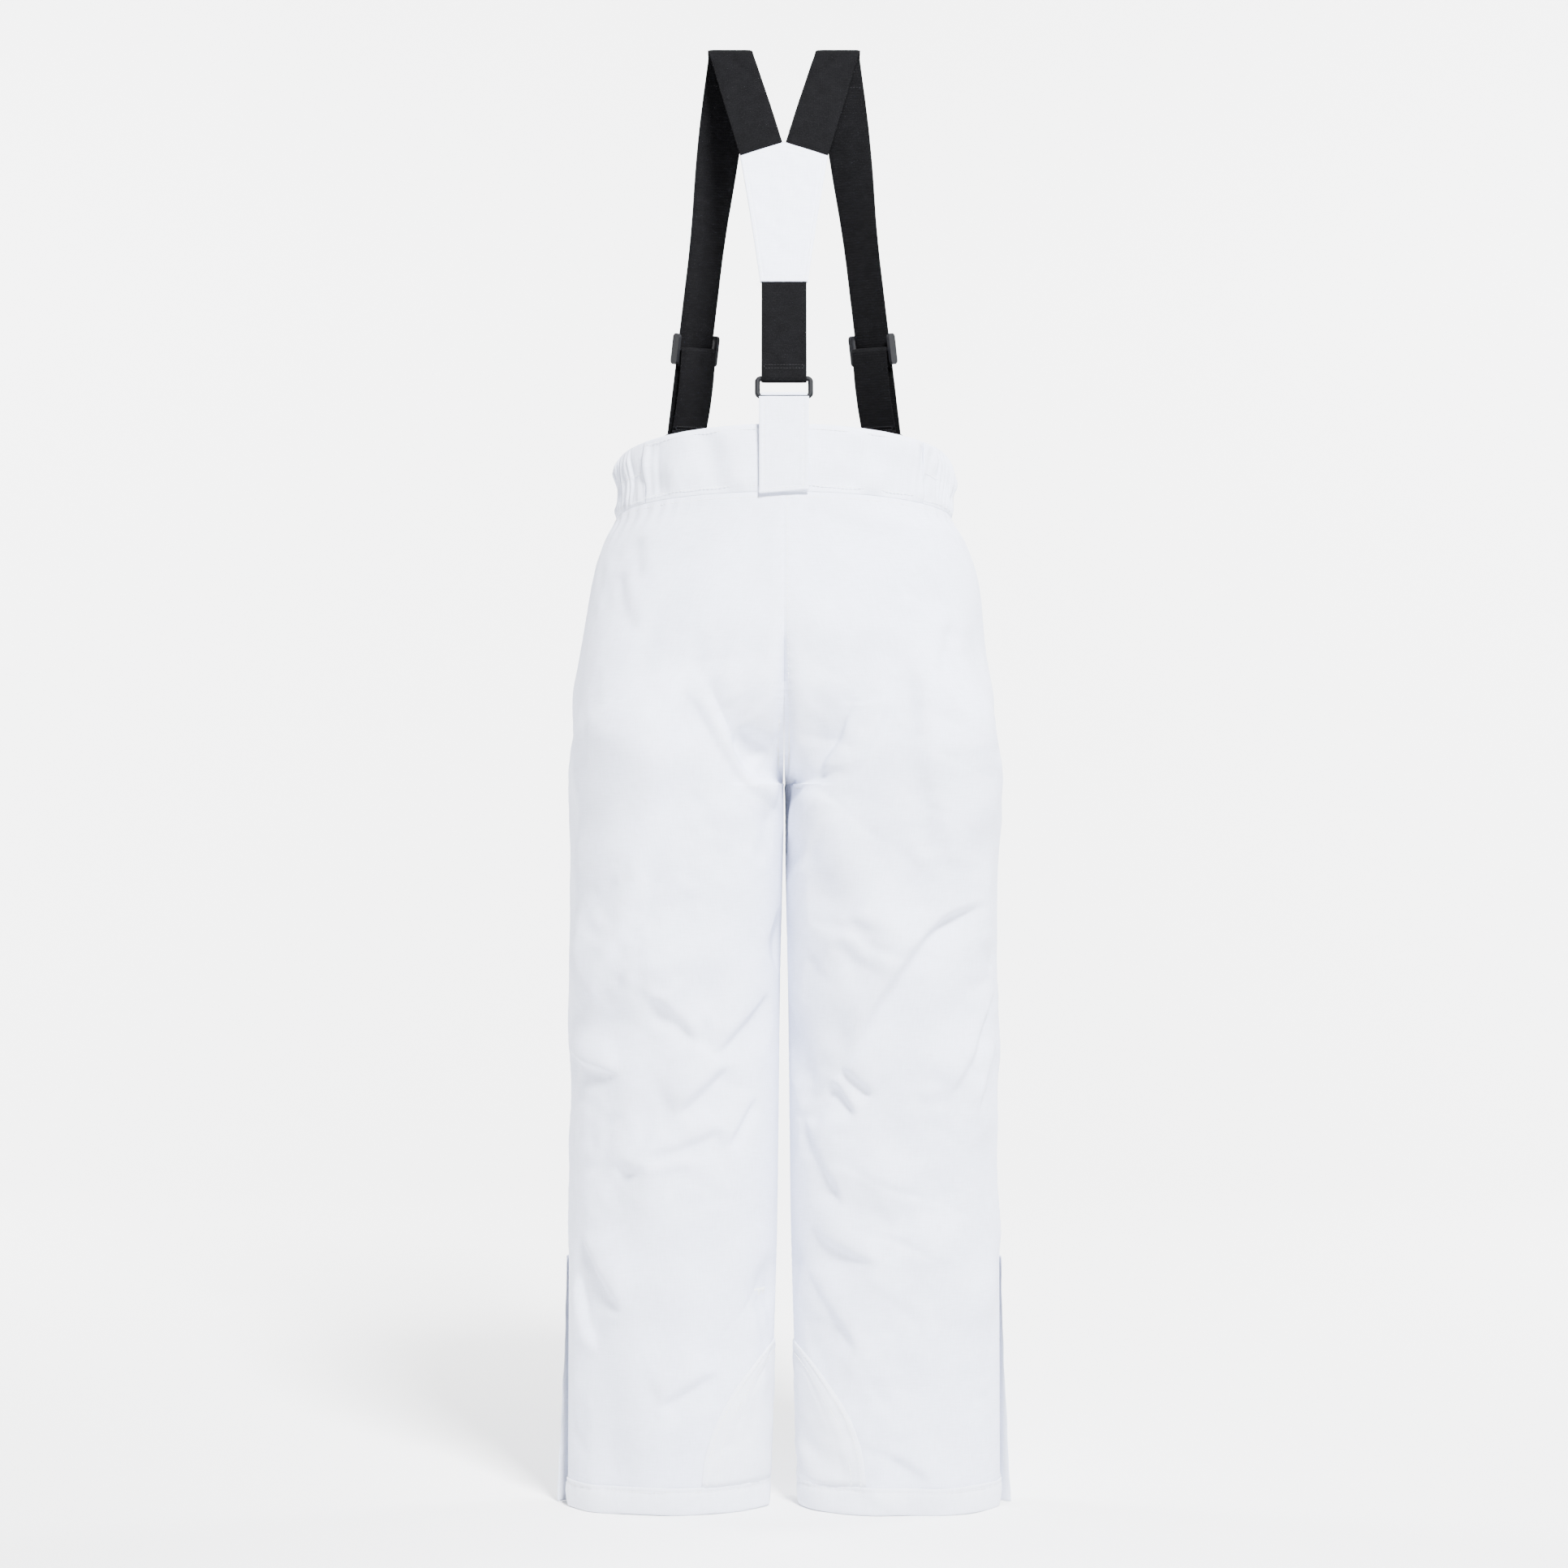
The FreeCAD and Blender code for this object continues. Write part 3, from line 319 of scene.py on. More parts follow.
# ---------------------------------------------------------------- mesh helpers
def make(name, points, faces, material, uv=None, body="pants"):
    """A mesh in the row frame from points in millimetres; uv holds one grain coordinate per point, in mm."""
    mesh = bpy.data.meshes.new(name)
    points = np.asarray(points, float).reshape(-1, 3)
    faces = [np.asarray(f) for f in (faces if isinstance(faces, list) else [faces])]
    sizes = np.concatenate([np.full(len(f), f.shape[1]) for f in faces])
    corners = np.concatenate([f.reshape(-1) for f in faces]).astype(np.int32)
    starts = np.concatenate([[0], np.cumsum(sizes)[:-1]]).astype(np.int32)
    mesh.vertices.add(len(points))
    mesh.vertices.foreach_set("co", (points * MM).astype(np.float32).reshape(-1))
    mesh.loops.add(len(corners))
    mesh.loops.foreach_set("vertex_index", corners)
    mesh.polygons.add(len(sizes))
    mesh.polygons.foreach_set("loop_start", starts)
    mesh.polygons.foreach_set("use_smooth", np.ones(len(sizes), bool))
    if uv is not None:
        layer = mesh.uv_layers.new(name="UVMap")
        grain = (np.asarray(uv, float).reshape(-1, 2)[corners] * MM).astype(np.float32)
        layer.data.foreach_set("uv", grain.reshape(-1))
    mesh.update(calc_edges=True)
    mesh.validate()
    mesh.materials.append(material)
    obj = bpy.data.objects.new(name, mesh)
    bpy.context.scene.collection.objects.link(obj)
    if body:
        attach(obj, body)
    return obj


def round_faces(rows, columns):
    """Faces of a grid of points whose rows close on themselves, as vertex numbers."""
    index = np.arange(rows * columns).reshape(rows, columns)
    index = np.concatenate([index, index[:, :1]], 1)
    return np.stack([index[:-1, :-1], index[:-1, 1:], index[1:, 1:], index[1:, :-1]], -1).reshape(-1, 4)


def grid_normals(points):
    du = np.gradient(points, axis=1)
    dv = np.gradient(points, axis=0)
    n = np.cross(du, dv)
    return n / np.maximum(np.linalg.norm(n, axis=-1, keepdims=True), 1e-9)


def slab_mesh(name, outer, inner, material, uv, body="pants", keep=None):
    """A closed sheet between two grids of points."""
    rows, columns = outer.shape[:2]
    count = rows * columns
    if keep is None:
        keep = np.ones((rows - 1, columns - 1), bool)
    index = np.arange(count).reshape(rows, columns)
    a, b, c, d = index[:-1, :-1], index[:-1, 1:], index[1:, 1:], index[1:, :-1]
    front = np.stack([a, b, c, d], -1)[keep]
    back = np.stack([a, d, c, b], -1)[keep] + count
    padded_keep = np.pad(keep, 1)
    rims = []
    for (p, q), shift in (((a, b), (-1, 0)), ((b, c), (0, 1)), ((c, d), (1, 0)), ((d, a), (0, -1))):
        neighbour = padded_keep[1 + shift[0]:rows + shift[0], 1 + shift[1]:columns + shift[1]]
        edge = keep & ~neighbour
        rims.append(np.stack([q[edge], p[edge], p[edge] + count, q[edge] + count], -1))
    faces = np.concatenate([front, back, *rims])
    points = np.concatenate([outer.reshape(-1, 3), inner.reshape(-1, 3)])
    grain = np.concatenate([uv.reshape(-1, 2)] * 2)
    used = np.zeros(len(points), bool)
    used[faces.reshape(-1)] = True
    renumber = np.cumsum(used) - 1
    return make(name, points[used], renumber[faces], material, grain[used], body)


def resample(points, pitch):
    """Points at equal steps along a polyline, with their places on it as fractional indices."""
    steps = np.linalg.norm(np.diff(points, axis=0), axis=1)
    run = np.concatenate([[0], np.cumsum(steps)])
    count = max(2, int(round(run[-1] / pitch)) + 1)
    return np.interp(np.linspace(0, run[-1], count), run, np.arange(len(points)))


def at_index(values, index):
    low = np.clip(index.astype(int), 0, len(values) - 2)
    share = (index - low)[:, None]
    return values[low] * (1 - share) + values[low + 1] * share


STITCH_RING = [(0.0, 0.0), (0.12, 0.75), (0.32, 1.0), (0.68, 1.0), (0.88, 0.75), (1.0, 0.0)]


def waves(seed, low, high, count=26, slant=None):
    """Gentle wandering relief: plane waves of many lengths and directions, about -1 to 1."""
    rng = np.random.default_rng(seed)
    length = rng.uniform(low, high, count)
    way = rng.uniform(0, np.pi, count) if slant is None else rng.normal(slant[0], slant[1], count)
    phase = rng.uniform(0, 2 * np.pi, count)
    size = rng.uniform(0.5, 1, count)

    def value(s, z):
        total = 0
        for l, w, p, a in zip(length, way, phase, size):
            total = total + a * np.sin((s * math.cos(w) + z * math.sin(w)) * 2 * np.pi / l + p)
        return total / math.sqrt(count * 0.3)

    return value


# ---------------------------------------------------------------- the cloth chart and its folds
CHART_Z = np.linspace(HEM, 4, 300)
CHART_ANGLE = np.linspace(0, np.pi, 181)


def chart_table(front):
    """How far round from the side seam each angle is, at each height."""
    x, y = outline(CHART_Z[:, None] - CROTCH, front, CHART_ANGLE[None])
    steps = np.hypot(np.diff(x, axis=1), np.diff(y, axis=1))
    return np.concatenate([np.zeros((len(CHART_Z), 1)), np.cumsum(steps, axis=1)], 1), x


CHART = [chart_table(False), chart_table(True)]


def girth_at(z, front, angle):
    """Arc length from the side seam, by bilinear lookup."""
    table = CHART[int(front)][0]
    i = np.clip((z - CHART_Z[0]) / (CHART_Z[1] - CHART_Z[0]), 0, len(CHART_Z) - 1.001)
    j = np.clip(angle / CHART_ANGLE[1], 0, len(CHART_ANGLE) - 1.001)
    i0, j0 = i.astype(int), j.astype(int)
    fi, fj = i - i0, j - j0
    return (table[i0, j0] * (1 - fi) * (1 - fj) + table[i0 + 1, j0] * fi * (1 - fj)
            + table[i0, j0 + 1] * (1 - fi) * fj + table[i0 + 1, j0 + 1] * fi * fj)


def to_chart(front, x, z):
    """Where a point seen at (x, z) from straight behind or in front lies on the chart."""
    table, across = CHART[int(front)]
    i = int(round((z - CHART_Z[0]) / (CHART_Z[1] - CHART_Z[0])))
    i = min(max(i, 0), len(CHART_Z) - 1)
    s = np.interp(-abs(x), -across[i], table[i])
    return (s if front else -s), z


def fold(front, depth, width, *points, lip=0.55, lean=0.25, start=0.25, end=0.25):
    """A crease through points (x, z) seen from behind or in front; x is the distance from the middle.

    depth and width are in mm; lip is the share of depth that rolls out above the valley, and the sign of
    lean says which side the roll is on; start and end are the shares of the length over which it fades.
    """
    line = np.array([to_chart(front, x, z) for x, z in points])
    for _ in range(3):                                   # round its corners
        q = line[:-1] * 0.75 + line[1:] * 0.25
        r = line[:-1] * 0.25 + line[1:] * 0.75
        line = np.concatenate([line[:1], np.stack([q, r], 1).reshape(-1, 2), line[-1:]])
    run = np.concatenate([[0], np.cumsum(np.linalg.norm(np.diff(line, axis=0), axis=1))])
    step = line[-1] - line[0]
    upward = step[0] - step[1] * 0.35             # which side of the crease is the upper one
    return {"line": line, "run": run / run[-1], "depth": depth, "width": width * 0.86, "lip": lip,
            "way": np.sign(upward) * (1 if lean >= 0 else -1), "start": start, "end": end}


def fold_relief(folds, s, z):
    total = np.zeros_like(s)
    for f in folds:
        line, width = f["line"], f["width"]
        reach = width * 8
        near = ((s > line[:, 0].min() - reach) & (s < line[:, 0].max() + reach)
                & (z > line[:, 1].min() - reach) & (z < line[:, 1].max() + reach))
        if not near.any():
            continue
        p = np.stack([s[near], z[near]], -1)
        best = np.full(len(p), 1e9)
        signed, where = np.zeros(len(p)), np.zeros(len(p))
        for k in range(len(line) - 1):
            a, b = line[k], line[k + 1]
            d = b - a
            size = d @ d
            if size < 1e-9:
                continue
            t = np.clip(((p - a) @ d) / size, 0, 1)
            gap = p - (a + t[:, None] * d)
            distance = np.hypot(gap[:, 0], gap[:, 1])
            better = distance < best
            best = np.where(better, distance, best)
            side = np.sign(d[0] * gap[:, 1] - d[1] * gap[:, 0])
            signed = np.where(better, distance * np.where(side == 0, 1, side), signed)
            where = np.where(better, mix(f["run"][k], f["run"][k + 1], t), where)
        taper = smooth(where, -0.02, f["start"]) * smooth(1 - where, -0.02, f["end"])
        # a roll of cloth hangs over a sharp valley, and the cloth below comes out again slowly
        x = signed / (width * (0.55 + 0.45 * taper)) * f["way"]
        valley = -np.exp(-(x / np.where(x > 0, 0.75, 2.6)) ** 2)
        roll = np.exp(-((x - 1.7) / np.where(x < 1.7, 1.05, 3.0)) ** 2)
        total[near] += f["depth"] * taper * (0.55 * valley + f["lip"] * roll)
    return total


# ---------------------------------------------------------------- zips, in the frame of their own chain
class Chain:
    """A straight zip: where it starts, which way it runs, and which way is across it and out of the cloth."""

    def __init__(self, low, high, out_hint):
        low, high = np.asarray(low, float), np.asarray(high, float)
        self.low, self.length = low, np.linalg.norm(high - low)
        self.along = (high - low) / self.length
        self.across = np.cross(out_hint, self.along)
        self.across /= np.linalg.norm(self.across)
        self.out = np.cross(self.along, self.across)

    def point(self, across, out, along):
        across, out, along = np.broadcast_arrays(*[np.asarray(v, float)[..., None] for v in (across, out, along)])
        return self.low + self.across * across + self.out * out + self.along * along

    def on(self, side):
        """This zip, or its mirror image on the left."""
        if side == RIGHT:
            return self
        other = Chain.__new__(Chain)
        flip = np.array([-1.0, 1, 1])
        other.low, other.length = self.low * flip, self.length
        other.along, other.out, other.across = self.along * flip, self.out * flip, self.across * flip
        return other


def front_point(x, z):
    return place(z, 0.0, True, angle_at(x, z - CROTCH))


def side_point(z):
    return np.array([float(side_reach(z - CROTCH)), 0, z])


ANKLE = Chain(side_point(HEM + 4), side_point(ANKLE_ZIP_TOP), (1, 0, 0))
POCKET = Chain(*(front_point(x, CROTCH + h) for x, h in (POCKET_LOW, POCKET_TOP)), (0.55, 1, 0))
FLY = Chain(front_point(0, CROTCH + 98), front_point(0, CROTCH + 219), (0, 1, 0))

# ---------------------------------------------------------------- where the cloth creases
RIGHT_FOLDS = [
    fold(False, -9.0, 21, (108, -150), (122, -230), (140, -310), (160, -380), lip=0, lean=-1, start=0.3, end=0.4),
    fold(False, 2.8, 9, (81, -191), (94, -200), (87, -225), (59, -270), (14, -351), lip=0.3, lean=0.2, start=0.2),
    fold(False, 1.9, 8, (3, -284), (30, -268), (56, -262), lean=0.3),
    fold(False, 1.5, 11, (104, -180), (110, -233), lean=0.0),
    fold(False, 1.8, 12, (148, -132), (127, -200), lean=0.0),
    fold(False, 5.2, 8.5, (167, -376), (128, -393), (90, -449), (59, -505), lean=0.25),
    fold(False, 2.2, 10, (50, -390), (78, -402), (106, -411), lean=0.2),
    fold(False, 1.9, 10, (34, -410), (60, -424), (86, -442), lean=0.2),
    fold(False, 3.2, 6, (45, -515), (74, -539), lean=0.3),
    fold(False, 3.0, 6, (35, -526), (59, -557), lean=0.3),
    fold(False, 3.0, 8, (179, -453), (137, -543), lean=0.0),
    fold(False, 2.6, 9, (181, -498), (162, -555), lean=0.0),
    fold(False, 3.2, 8, (14, -561), (48, -634), lean=0.1),
    fold(False, 2.4, 8, (18, -652), (50, -676), (84, -684), lean=0.3),
    fold(False, 2.2, 8, (17, -688), (63, -762), lean=0.1),
    fold(False, 2.0, 7, (87, -845), (122, -867), lean=0.2),
    fold(True, 4.0, 9, (150, -210), (95, -262), (40, -296), (12, -300), lean=0.2),
    fold(True, 3.0, 8, (120, -250), (66, -290), (22, -330), lean=0.2),
    fold(True, 2.6, 10, (60, -180), (30, -245), (6, -280), lean=0.1),
    fold(True, 3.6, 9, (30, -470), (80, -498), (140, -490), lean=0.25),
    fold(True, 3.0, 7, (60, -530), (105, -548), (160, -528), lean=0.25),
    fold(True, 3.4, 9, (24, -590), (70, -640), (128, -655), lean=0.2),
    fold(True, 2.4, 8, (165, -600), (140, -690), lean=0.0),
    fold(True, 2.6, 8, (30, -720), (82, -770), (120, -780), lean=0.2),
    fold(True, 2.0, 7, (60, -820), (110, -842), lean=0.2),
]
LEFT_FOLDS = [
    fold(False, -12.0, 21, (84, -170), (100, -235), (126, -320), (150, -410), (166, -480), lip=0, lean=-1,
         start=0.3, end=0.4),
    fold(False, 3.0, 9, (92, -194), (73, -211), (45, -262), (20, -290), (3, -304), lip=0.25, lean=0.2, start=0.25),
    fold(False, 2.4, 7, (41, -227), (12, -245), lean=0.2),
    fold(False, 1.5, 11, (125, -65), (123, -105), lean=0.0),
    fold(False, 1.5, 11, (146, -93), (126, -149), lean=0.0),
    fold(False, 3.6, 13, (92, -190), (112, -250), (138, -318), (152, -365), lean=0.35, start=0.35, end=0.35),
    fold(False, 3.2, 7, (184, -505), (160, -519), (136, -522), lean=0.3),
    fold(False, 2.8, 8, (115, -453), (73, -494), lean=0.1),
    fold(False, 3.4, 8, (8, -445), (56, -505), lean=0.1),
    fold(False, 3.6, 8, (42, -512), (91, -557), lean=0.2),
    fold(False, 2.6, 6, (21, -539), (46, -585), lean=0.2),
    fold(False, 3.0, 9, (47, -568), (80, -584), (118, -590), lean=0.3),
    fold(False, 2.2, 10, (70, -598), (108, -609), (156, -600), lean=0.3),
    fold(False, 3.0, 8, (175, -660), (140, -726), lean=0.1),
    fold(False, 2.6, 8, (175, -688), (158, -758), lean=0.0),
    fold(False, 2.8, 8, (56, -775), (105, -804), lean=0.2),
    fold(True, 4.0, 9, (140, -190), (90, -250), (36, -290), (10, -302), lean=0.2),
    fold(True, 3.0, 8, (150, -270), (90, -302), (30, -322), lean=0.2),
    fold(True, 2.6, 10, (78, -170), (46, -236), (8, -276), lean=0.1),
    fold(True, 3.4, 9, (26, -455), (70, -488), (150, -500), lean=0.25),
    fold(True, 3.2, 7, (50, -520), (95, -536), (150, -516), lean=0.25),
    fold(True, 3.2, 9, (30, -600), (86, -634), (140, -628), lean=0.2),
    fold(True, 2.4, 8, (160, -640), (128, -720), lean=0.0),
    fold(True, 2.6, 8, (36, -742), (88, -776), (134, -772), lean=0.2),
    fold(True, 2.0, 7, (70, -830), (112, -850), lean=0.2),
]
BROAD, MIDDLE, FINE, BREAK, MASK = (
    {RIGHT: waves(right, *size), LEFT: waves(left, *size)}
    for right, left, *size in ((3, 8, 120, 260, 18), (21, 34, 46, 95, 26), (52, 67, 15, 34, 40),
                               (43, 57, 60, 130, 16, (1.0, 0.45)), (71, 82, 90, 200, 14)))
PUCKER = waves(91, 24, 60, 12, slant=(np.pi / 2, 0.05))


def relief(side, front, s, z, s_in, down, points):
    """How far the cloth stands off the pattern's own shape, in mm. s and z are chart places."""
    folds = RIGHT_FOLDS if side == RIGHT else LEFT_FOLDS
    torso = smooth(z, -230, -120)
    soft = 2.4 * BROAD[side](s, z) + mix(1.5, 0.8, torso) * MIDDLE[side](s, z)
    rough = np.clip(0.5 + 0.5 * MASK[side](s, z), 0, 1.2)
    soft = soft + mix(0.36, 0.24, torso) * rough * FINE[side](s, z)
    # slack cloth breaks into sharp shallow valleys as well as rolling ones
    soft = soft + mix(1.5, 0.6, torso) * rough * np.minimum(np.abs(BREAK[side](s, z)), 0.7)
    creases = 7.0 * np.tanh(2.7 * fold_relief(folds, s, z) / 7.0)
    # the cloth is held along the inner seams, at the waist and beside every zip
    inner = smooth(s_in, 1, mix(20, 34, torso))
    waist = smooth(down, 2, 26)
    calm = 1 - 0.6 * bump(s, 34)
    total = (soft * calm * inner + creases * smooth(s_in, 0, 9)) * waist
    ankle_hold = 1 - (1 - smooth(np.abs(s), 10, 30)) * (1 - smooth(z, ANKLE_ZIP_TOP - 4, ANKLE_ZIP_TOP + 24))
    total = total * ankle_hold
    if front:
        for chain, wide in ((POCKET, 26), (FLY, 24)):
            gap = points - chain.low
            along = np.clip(gap @ chain.along, 0, chain.length)
            away = np.linalg.norm(gap - along[..., None] * chain.along, axis=-1)
            total = total * smooth(away, wide * 0.5, wide * 1.4)
    # seams: a stitched groove with the quilted cloth rising on both sides, and short puckers
    beat = np.sin(z * 2 * np.pi / 8.5 + 1.4 * PUCKER(s * 0, z))
    seam = ankle_hold * waist
    total += seam * (-1.5 * bump(s, 1.6) + 0.9 * bump(np.abs(s) - 9, 6.5) + 0.28 * beat * bump(np.abs(s) - 4, 4))
    leg = 1 - smooth(z, CROTCH - 30, CROTCH - 4)
    total += leg * (-0.9 * bump(s_in, 1.6) + 0.22 * beat * bump(s_in - 4, 4) * smooth(s_in, 0, 2))
    middle = smooth(z, CROTCH, CROTCH + 30) * waist
    if front:
        middle = middle * (1 - smooth(z, CROTCH + 84, CROTCH + 96))
    total += middle * mix(1.0, 0.35, smooth(z, -170, -110)) * (
        -1.3 * bump(s_in, 1.7) + 0.7 * bump(s_in - 9, 6) + 0.3 * beat * bump(s_in - 4, 4))
    if not front:
        cleft = smooth(z, CROTCH, CROTCH + 20) * (1 - smooth(z, -190, -118))
        total += cleft * (-4.0 * bump(s_in, 8.5) - 3.0 * bump(s_in, 2.6) + 1.2 * bump(s_in - 20, 10))
    # the waist seam gathers the cloth a little, most under the elastic
    gather = np.sin(s * 2 * np.pi / 12.5 + 1.1 * np.sin(s / 17.0) + side)
    near_side = 1 - smooth(np.abs(s), 70, 120)
    total += (-0.5 * bump(down, 1.6) + (0.12 + 0.55 * near_side) * gather * bump(down - 5, 15)
              * smooth(down, 0, 3))
    return total


# ---------------------------------------------------------------- shell panels
class Panel:
    """One quarter of the shell: a leg's back or front, up to the waist seam, as a grid of creased points."""

    def __init__(self, side, front, rows_leg, rows_torso, columns):
        self.side, self.front = side, front
        w = np.linspace(0, 1, columns)
        self.w = w - 0.55 * np.sin(2 * np.pi * w) / (2 * np.pi)
        rise = 227.6 * np.linspace(0, 1, rows_torso + 1)[1:] ** 1.6
        self.level = np.concatenate([np.linspace(HEM + 2, CROTCH, rows_leg), CROTCH + rise])
        above = np.concatenate([np.linspace(HEM + 2, CROTCH, rows_leg) - CROTCH, rise])
        self.tilt = SEAM_TILT[int(front)] * np.clip((above - 108) / 120, 0, None)
        self.first, self.last = self.side_edge(above), self.middle_edge(above)
        self.angle = self.first[:, None] + (self.last - self.first)[:, None] * self.w[None]
        base = place(self.level[:, None], self.tilt[:, None], front, self.angle)
        out = place(self.level[:, None], self.tilt[:, None], front, self.angle, 1.0) - base
        edge = bump(np.minimum(self.w, 1 - self.w), 0.02)[None, :, None]
        z = base[..., 2]
        s = girth_at(z, front, self.angle)
        s_in = girth_at(z, front, self.angle * 0 + np.pi) - s
        sign = 1 if front else -1
        down = np.linalg.norm(base - base[-1:], axis=-1)
        lift = relief(side, front, s * sign, z, s_in, down, base)
        inward = smooth(-out[..., 0], 0.25, 0.85) * smooth(CROTCH - z, 0, 50)   # the legs keep clear of each other
        lift = np.where(lift > 0, lift * (1 - 0.85 * inward), lift) - 1.2 * inward * smooth(CROTCH - z, 30, 160)
        moved = base + out * lift[..., None]
        floor = np.where(self.level < CROTCH, 0.35, 0.0)[:, None]
        moved[..., 0] = np.maximum(moved[..., 0], floor)
        moved[self.level >= CROTCH, -1, 0] = base[self.level >= CROTCH, -1, 0]
        self.keep = np.ones((len(self.level) - 1, columns - 1), bool)
        if front:
            moved = self.open_pocket(moved)
        normal = grid_normals(moved)
        normal *= np.sign((normal * out).sum(-1, keepdims=True))
        normal = normal * (1 - edge) + out * edge
        normal = unit_rows(normal)
        self.uv = np.stack([s * sign, z], -1)
        self.points, self.normals = moved * FLIP[side], normal * FLIP[side]
        self.turned = (side == RIGHT) != front          # columns reversed, so that faces look outwards

    def side_edge(self, above):
        """Each row's first angle: the cloth stops short of the ankle zip."""
        first = np.zeros(len(self.level))
        slot = SLOT * np.sqrt(np.clip((ANKLE_ZIP_TOP + 1 - self.level) / 6, 0, 1))
        angles = np.linspace(0, 0.4, 41)
        for k in np.flatnonzero(slot > 0):
            first[k] = np.interp(slot[k], np.abs(outline(above[k], self.front, angles)[1]), angles)
        return first

    def middle_edge(self, above):
        """Each row's last angle: at the front the cloth stops short of the fly."""
        last = np.full(len(self.level), np.pi)
        if self.front:
            fly = SLOT * np.sqrt(np.clip((above - 97) / 5, 0, 1) * np.clip((220 - above) / 5, 0, 1))
            for k in np.flatnonzero(fly > 0):
                last[k] = angle_at(fly[k], above[k])
        return last

    def open_pocket(self, points, reach=16):
        """Pushes the cloth to both sides of the pocket zip, and marks the cells that bridge it as cut away."""
        gap = points - POCKET.low
        a, l = gap @ POCKET.across, gap @ POCKET.along
        half = SLOT * smooth(l, -3, 2) * smooth(POCKET.length - l, -3, 2)
        near = np.abs(a) < reach
        side_of = np.where(a < 0, -1, 1)
        pushed = side_of * (half + np.abs(a) * (reach - half) / reach)
        corners = np.abs(side_of[:-1, :-1] + side_of[:-1, 1:] + side_of[1:, 1:] + side_of[1:, :-1])
        self.keep = ~((corners < 4) & ((half > 1.5) & near)[:-1, :-1])
        return points + np.where(near, pushed - a, 0)[..., None] * POCKET.across

    def index(self, level, angle):
        """Fractional row and column of a place on the panel."""
        i = np.interp(level, self.level, np.arange(len(self.level)))
        low, high = np.interp(level, self.level, self.first), np.interp(level, self.level, self.last)
        j = np.interp((angle - low) / (high - low), self.w, np.arange(len(self.w)))
        return i, j

    def at(self, level, angle, offset=0.0):
        """Points on the creased cloth, offset outwards from it, and its normals there."""
        level, angle, offset = np.broadcast_arrays(*[np.asarray(v, float) for v in (level, angle, offset)])
        i, j = self.index(level, angle)
        i0 = np.clip(i.astype(int), 0, len(self.level) - 2)
        j0 = np.clip(j.astype(int), 0, len(self.w) - 2)
        fi, fj = (i - i0)[..., None], (j - j0)[..., None]

        def blend(grid):
            return ((grid[i0, j0] * (1 - fi) + grid[i0 + 1, j0] * fi) * (1 - fj)
                    + (grid[i0, j0 + 1] * (1 - fi) + grid[i0 + 1, j0 + 1] * fi) * fj)

        n = unit_rows(blend(self.normals))
        return blend(self.points) + n * offset[..., None], n

    def mesh(self, name, outer, inner, material, step=1, rows=slice(None)):
        """A layer of this quarter between two offsets from the cloth's face."""
        order = slice(None, None, -step) if self.turned else slice(None, None, step)
        p = self.points[rows][::step, order]
        n = self.normals[rows][::step, order]
        uv = self.uv[rows][::step, order]
        high, wide = len(p) - 1, p.shape[1] - 1
        keep = self.keep[rows][:high * step, :wide * step].reshape(high, step, wide, step).all((1, 3))
        keep = keep[:, ::-1] if self.turned else keep
        return slab_mesh(name, p + n * outer, p + n * inner, material, uv, keep=keep)


def chart_lookup(table, sign, value, z):
    value, z = np.broadcast_arrays(np.asarray(value, float), np.asarray(z, float))
    rows = np.clip(np.round((z - CHART_Z[0]) / (CHART_Z[1] - CHART_Z[0])).astype(int), 0, len(CHART_Z) - 1)
    angles = [np.interp(sign * a, sign * table[r], CHART_ANGLE) for a, r in zip(value.ravel(), rows.ravel())]
    return np.array(angles).reshape(value.shape)


def angle_for_girth(front, s, z):
    """The angle that lies s millimetres round from the side seam at height z."""
    return chart_lookup(CHART[int(front)][0], 1, s, z)


def angle_for_x(front, x, z):
    """The angle that lies x millimetres from the middle at height z; x falls as the angle grows."""
    return chart_lookup(CHART[int(front)][1], -1, x, z)


DETAIL = 1.0
PANELS = {}
for side, word in SIDES:
    for front, face in FACES:
        rows_leg, rows_torso, columns = (270, 130, 141) if not front else (210, 110, 111)
        panel = Panel(side, front, int(rows_leg * DETAIL), int(rows_torso * DETAIL), int(columns * DETAIL) | 1)
        PANELS[side, front] = panel
        cloth = panel.mesh(f"{face}_panel_{word}", 0.0, -0.8, SHELL)
        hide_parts(f"shell_{face}_{word}")
        cloth.data.set_sharp_from_angle(angle=math.radians(55))


# ---------------------------------------------------------------- sewing helpers
def tube(name, rings, material, uv, body="pants", caps=True):
    """A closed section carried along a path: rings is (stations, points round the section)."""
    stations, around = rings.shape[:2]
    faces = [round_faces(stations, around)]
    if caps:
        ends = np.arange(around)
        faces += [ends[None, ::-1], ends[None] + (stations - 1) * around]
    return make(name, rings.reshape(-1, 3), faces, material, uv.reshape(-1, 2), body)


def beads(name, centres, along, normals, length, radius, material, body="pants", arch=0.0):
    """Small rounded bars, such as zip teeth: one for every centre."""
    t = unit_rows(along)
    n = unit_rows(normals - (normals * t).sum(1, keepdims=True) * t)
    b = np.cross(n, t)
    rings = []
    for share, swell in STITCH_RING:
        middle = centres + t * (length * (share - 0.5)) + n * (arch * 4 * share * (1 - share))
        for a in (0, 1.05, 2.09, 3.14, 4.19, 5.24):
            rings.append(middle + (b * math.cos(a) + n * math.sin(a)) * radius * max(swell, 0.15))
    points = np.stack(rings, 1)
    unit_faces = round_faces(len(STITCH_RING), 6)
    faces = (unit_faces[None] + (np.arange(len(centres)) * 36)[:, None, None]).reshape(-1, 4)
    return make(name, points, faces, material, np.zeros((points.shape[0] * 36, 2)), body)


